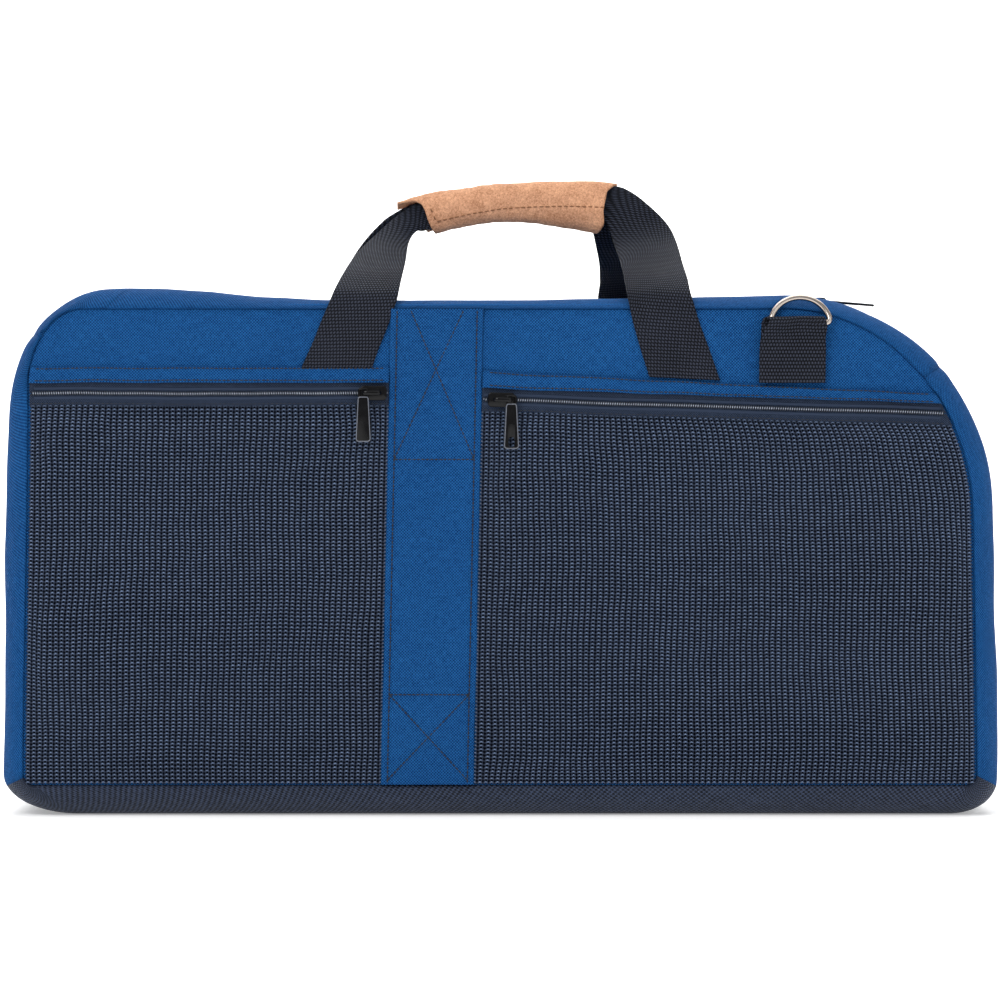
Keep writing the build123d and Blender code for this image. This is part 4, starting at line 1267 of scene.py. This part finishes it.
front_bar, back_bar = joint_at("front_d_ring_hinge"), joint_at("back_d_ring_hinge")
ring_wire("front_ring_wire", "front_d_ring", "front_d_ring", front_bar, math.radians(-18))
ring_wire("back_ring_wire", "back_d_ring", "back_d_ring", back_bar, math.radians(180 + 35))
ring_tab("front_ring_tab_webbing", "front_ring_tab", -1, front_bar)
ring_tab("back_ring_tab_webbing", "back_ring_tab", 1, back_bar)


# ---- main zip --------------------------------------------------------------------------
def gutter_line(columns, lift):
    """The zip's centre line along its gutter at some columns, lifted off the tape."""
    points = GUTTER_SIDE[columns] - GUTTER_UP[columns] * (GUTTER[columns][:, None] - lift * MM)
    return points, GUTTER_UP[columns]


def ribbed_tape(points, across, up):
    """Tape's points across a line: flat, with a shoulder ridge beside the coil and soft waves."""
    ridge = 0.45 * np.exp(-((np.abs(across) - 4.6) / 1.1) ** 2) + 0.18 * waves(points, 0.03, 101)
    return points + up * ridge[..., None] * MM


MAIN_TOOTH = {"pitch": 1.8 * MM, "wide": 1.5 * MM, "high": 0.9 * MM, "thick": 0.45 * MM}


def main_zip():
    """Tapes and coils: a half for each flap side and end, cut at the middle, and the fixed ends
    follow the gutter down to the end seams."""
    middle = MARK["middle"]
    halves = {"right": slice(MARK["flap_right"], middle + 1), "left": slice(middle, MARK["flap_left"] + 1)}
    for side, sign in (("front", -1), ("back", 1)):
        across = np.concatenate([np.linspace(0.9, 7, 12), np.linspace(8, 21, 7)]) * sign
        for end, columns in halves.items():
            line, _ = gutter_line(columns, -0.1)
            line = line * [1, 0, 0] + [0, 0, TAPE_TOP - 0.1 * MM]
            points = line[None] + across[:, None, None] * [0, MM, 0]
            points = ribbed_tape(points, across[:, None] + 0 * points[..., 0], np.array([0, 0, 1.0]))
            tape = sheet(f"{side}_main_tape_{end}_half", points, (0, 0, 1), 0.7 * MM,
                         material=TAPE, slot="zip_tape")
            cloth(points)
            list(crossing(end))
            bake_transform(tape)
            path = line + [0, sign * 1.35 * MM, 1.15 * MM]
            coil = zip_coil(f"{side}_main_coil_{end}_half", None, path, (0, 1, 0), None, (0, 0, 1),
                            blend=("bag", f"{side}_flap", *crossing(end)), **MAIN_TOOTH)
            if end == "right":
                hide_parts(f"{side}_main_tape")
                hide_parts(f"{side}_main_coil")
    for end, stop in (("right", 257 * MM), ("left", -300 * MM)):
        low, high = sorted((MARK[f"end_{end}"], MARK[f"flap_{end}"]))
        columns = slice(low, high + 1)
        line, up = gutter_line(columns, -0.1)
        across = np.linspace(-11.4, 11.4, 25)
        points = line[None] + across[:, None, None] * [0, MM, 0]
        points = ribbed_tape(points, across[:, None] + 0 * points[..., 0], up[None])
        tape = sheet(f"main_zip_tape_{end}_end", points, up[None], 0.7 * MM, body="bag",
                     material=TAPE, slot="zip_tape")
        cloth(points)
        path = line + up * 1.15 * MM
        within = path[:, 0] < stop - 2 * MM if end == "right" else path[:, 0] > stop + 2 * MM
        for k, off in (("a", -1.35), ("b", 1.35)):
            coil = zip_coil(f"main_zip_coil_{end}_{k}", None, path[within] + [0, off * MM, 0], (0, 1, 0), "bag",
                            up[within], **MAIN_TOOTH)
        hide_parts(f"main_zip_end_{end}")
        at = np.argmin(np.abs(path[:, 0] - stop))
        place = mapped(line[at] + up[at] * 0.3 * MM, np.cross([0, 1, 0], up[at]), (0, 1, 0))
        loop = rounded_loop(-2.2 * MM, 2.2 * MM, 4.2 * MM, 1 * MM, 40)
        plate(f"main_zip_stop_{end}", loop, 0, 2.4 * MM, 0.7 * MM, place, body="bag", material=SLIDER,
              slot="zip_coil")


main_zip()


# ---- inside: flap pads, wall pads, board, bindings; back welt ------------------------------
def pad(name, node, loop, pole, half, out, body="bag", soft=0.3):
    """Closed pad: rings shrink from its outline to a pole on each side. Each side stands off
    the middle by a half thickness that falls to nothing at the outline, as the square root
    of one less a high power of the ring's share; soft waves dent its face."""
    share = np.sin(np.linspace(0.02, 1, 26) * PI / 2)
    share = np.concatenate([share, share[-2::-1]])
    side = np.concatenate([np.ones(26), -np.ones(25)])
    crown = side * np.sqrt(1 - np.clip(share, 0, 1) ** 16)
    points = pole + (loop[None] - pole) * share[:, None, None]
    out = np.array(out, float)
    dent = 1 - soft * 0.5 * (1 + waves(points, 0.06, 111)) * (1 - share[:, None] ** 6)
    points = points + out * (half * crown[:, None] * dent)[..., None]
    rows, count = points.shape[:2]
    tips = np.array([pole + out * half * 0.8, pole - out * half * 0.8])
    c = np.arange(count)
    n = (c + 1) % count
    base = (rows - 1) * count
    fans = np.vstack([np.stack([np.full(count, rows * count), n, c], -1),
                      np.stack([np.full(count, rows * count + 1), base + c, base + n], -1)])
    flat = np.argsort(np.abs(out))[:2]
    everything = np.vstack([points.reshape(-1, 3), tips])
    faces = [*quads(rows, count, wrap_columns=True).tolist(), *fans.tolist()]
    piece = build(name, everything, faces, everything[:, flat], body=body, material=LINING, slot="foam")
    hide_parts(node)


def box_loop(node, plane, radius, count=160):
    """Rounded outline in a plane (two axis numbers) of a node's box, and the box's middle."""
    low, high = corner(node, 0), corner(node, 1)
    a, b = plane
    loop2 = rounded_loop(low[a], high[a], (high[b] - low[b]) / 2, radius, count)
    loop = np.tile((low + high) / 2, (len(loop2), 1))
    loop[:, a] = loop2[:, 0]
    loop[:, b] += loop2[:, 1]
    return loop, (low + high) / 2


for side, sign in (("front", -1), ("back", 1)):
    wall = BAND[0] if sign < 0 else BAND[-1]
    centre = np.array([-0.01, sign * 100.2 * MM, 0.2])
    inset = 1 - 10 * MM / np.maximum(np.linalg.norm((wall - centre) * [1, 0, 1], axis=1), 0.05)
    ring = centre + (wall - centre) * [1, 0, 1] * inset[:, None]
    ring[:, 2] = np.clip(ring[:, 2], 0.0315, 0.3675)
    pad(f"{side}_wall_pad", f"{side}_pad", ring[:-1:2], centre, 2.7 * MM, (0, -sign, 0))
    loop, centre = box_loop(f"{side}_flap_pad", (0, 1), 14 * MM, 240)
    loop[:, 2] = centre[2] = 380.6 * MM
    pad(f"{side}_flap_padding", f"{side}_flap_pad", loop, centre, 1.9 * MM, (0, 0, -1), body=f"{side}_flap")
# the ends of the case lean in, so their pads stand further in than their boxes
END_PAD_INSET = 5 * MM
for end in ("left", "right"):
    loop, centre = box_loop(f"{end}_pad", (1, 2), 24 * MM)
    loop[:, 0] = centre[0] = centre[0] - math.copysign(END_PAD_INSET, centre[0])
    pad(f"{end}_end_pad", f"{end}_pad", loop, centre, 2.9 * MM, (-1 if end == "right" else 1, 0, 0))

low, high = corner("bottom_board", 0), corner("bottom_board", 1)
board_loop = rounded_loop(low[0], high[0], high[1], 22 * MM, 96)
board = plate("base_stiffener", board_loop, 0, high[2] - low[2], 0.8 * MM,
              mapped((0, 0, low[2]), (1, 0, 0), (0, 1, 0)), body="bag", material=BOARD, slot="board")
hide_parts("bottom_board")

for side, sign in (("front", -1), ("back", 1)):
    low, high = corner(f"{side}_top_binding", 0), corner(f"{side}_top_binding", 1)
    x = np.linspace(low[0] + 1 * MM, high[0] - 1 * MM, 160)
    path = np.stack([x, 0 * x + (low[1] + high[1]) / 2, 0 * x + (low[2] + high[2]) / 2], -1)
    path = path + [0, 0, 0.3 * MM] * waves(path, 0.05, 121)[:, None]
    binding = tube(f"{side}_seam_binding", path, (2.5 * MM, 0.72 * MM), (0, 1, 0), sides=12, body="bag",
                   material=BLUE, slot="blue_nylon")
    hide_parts(f"{side}_top_binding")

low, high = corner("back_welt", 0), corner("back_welt", 1)
profile = through([(0, 105.3), (0.04, 106.3), (0.2, 106.8), (0.6, 106.7), (0.92, 106.6), (1.0, 106.2), (1.0, 105.4)],
                  np.linspace(0, 1, 28))
x = np.linspace(low[0] + 1.5 * MM, high[0] - 1.5 * MM, 240)
z = low[2] + profile[:, :1] * (high[2] - low[2]) + 0 * x
welt = np.stack([x + 0 * z, profile[:, 1:] * MM + 0 * z, z], -1)
welt = welt + np.array([0, 0.2, 0.4]) * MM * waves(welt * [1, 0, 0.2], 0.06, 131)[..., None]
welt_piece = sheet("back_welt_cloth", welt, (0, 1, 0), 0.8 * MM, body="bag", material=BLUE,
                   slot="blue_nylon")
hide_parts("back_welt")
cloth(welt)
lines = [welt[row, 3:-3] + [0, 0.3 * MM, 0] for row in (9, 20)]
stitching("back_welt_stitches", lines, (0, 1, 0), "bag", THREAD, "webbing")


# ---- floor, lights and camera ---------------------------------------------------------
def stage_floor():
    """Pale floor that curves up into a pale wall behind the bag: an arc joins two planes."""
    arc = np.linspace(0, PI / 2, 24)
    bend = 1.6
    y = np.concatenate([[-7.0, 0.5], 2.2 + bend * np.sin(arc), [2.2 + bend]])
    z = np.concatenate([[0, 0], bend - bend * np.cos(arc), [7.0]]) - 0.0004
    x = np.linspace(-7, 7, 3)
    points = np.stack([np.broadcast_to(x, (len(y), 3)), np.broadcast_to(y[:, None], (len(y), 3)),
                       np.broadcast_to(z[:, None], (len(y), 3))], -1)
    finish = Finish("studio_paper", Roughness=0.9, Specular_IOR_Level=0.1)
    finish.shader.inputs["Base Color"].default_value = srgb(250, 250, 250)
    finish.shader.inputs["Emission Color"].default_value = (1, 1, 1, 1)
    finish.shader.inputs["Emission Strength"].default_value = 0.3
    floor = build("studio_floor", points, quads(len(y), 3), material=finish.material, closed=False)


def area_light(name, at, towards, size, power):
    """Soft square light at a place, facing another."""
    data = bpy.data.lights.new(name, "AREA")
    data.shape, data.size, data.energy = "SQUARE", size, power
    lamp = bpy.data.objects.new(name, data)
    lamp.location = at
    lamp.rotation_euler = (Vector(towards) - Vector(at)).to_track_quat("-Z", "Y").to_euler()
    bpy.context.scene.collection.objects.link(lamp)


stage_floor()
area_light("key_left", (-1.5, -2.6, 2.4), (0, 0, 0.2), 1.6, 54)
area_light("fill_right", (2.0, -2.4, 1.4), (0, 0, 0.2), 2.2, 15)
area_light("top_soft", (0.1, -0.1, 2.6), (0, 0, 0.2), 2.0, 22)
area_light("back_wash", (0, 1.6, 3.0), (0, 3.4, 1.0), 3.0, 130)
world = bpy.data.worlds.new("studio_air")
world.use_nodes = True
world.node_tree.nodes["Background"].inputs["Color"].default_value = (1, 1, 1, 1)
world.node_tree.nodes["Background"].inputs["Strength"].default_value = 0.5
bpy.context.scene.world = world
bpy.context.scene.view_settings.view_transform = "Standard"

# the camera faces the front's middle, and its view is FRAME_WIDTH wide there
CAMERA_BACK = 3.0
CAMERA_UP = 0.234
FRAME_WIDTH = 0.7465
camera_data = bpy.data.cameras.new("camera")
camera_data.sensor_width = 36.0
camera_data.lens = camera_data.sensor_width * CAMERA_BACK / FRAME_WIDTH
camera_data.clip_end = 50
camera = bpy.data.objects.new("camera", camera_data)
camera.location = (0.0, -0.08 - CAMERA_BACK, CAMERA_UP)
camera.rotation_euler = (PI / 2, 0, 0)
bpy.context.scene.collection.objects.link(camera)
bpy.context.scene.camera = camera
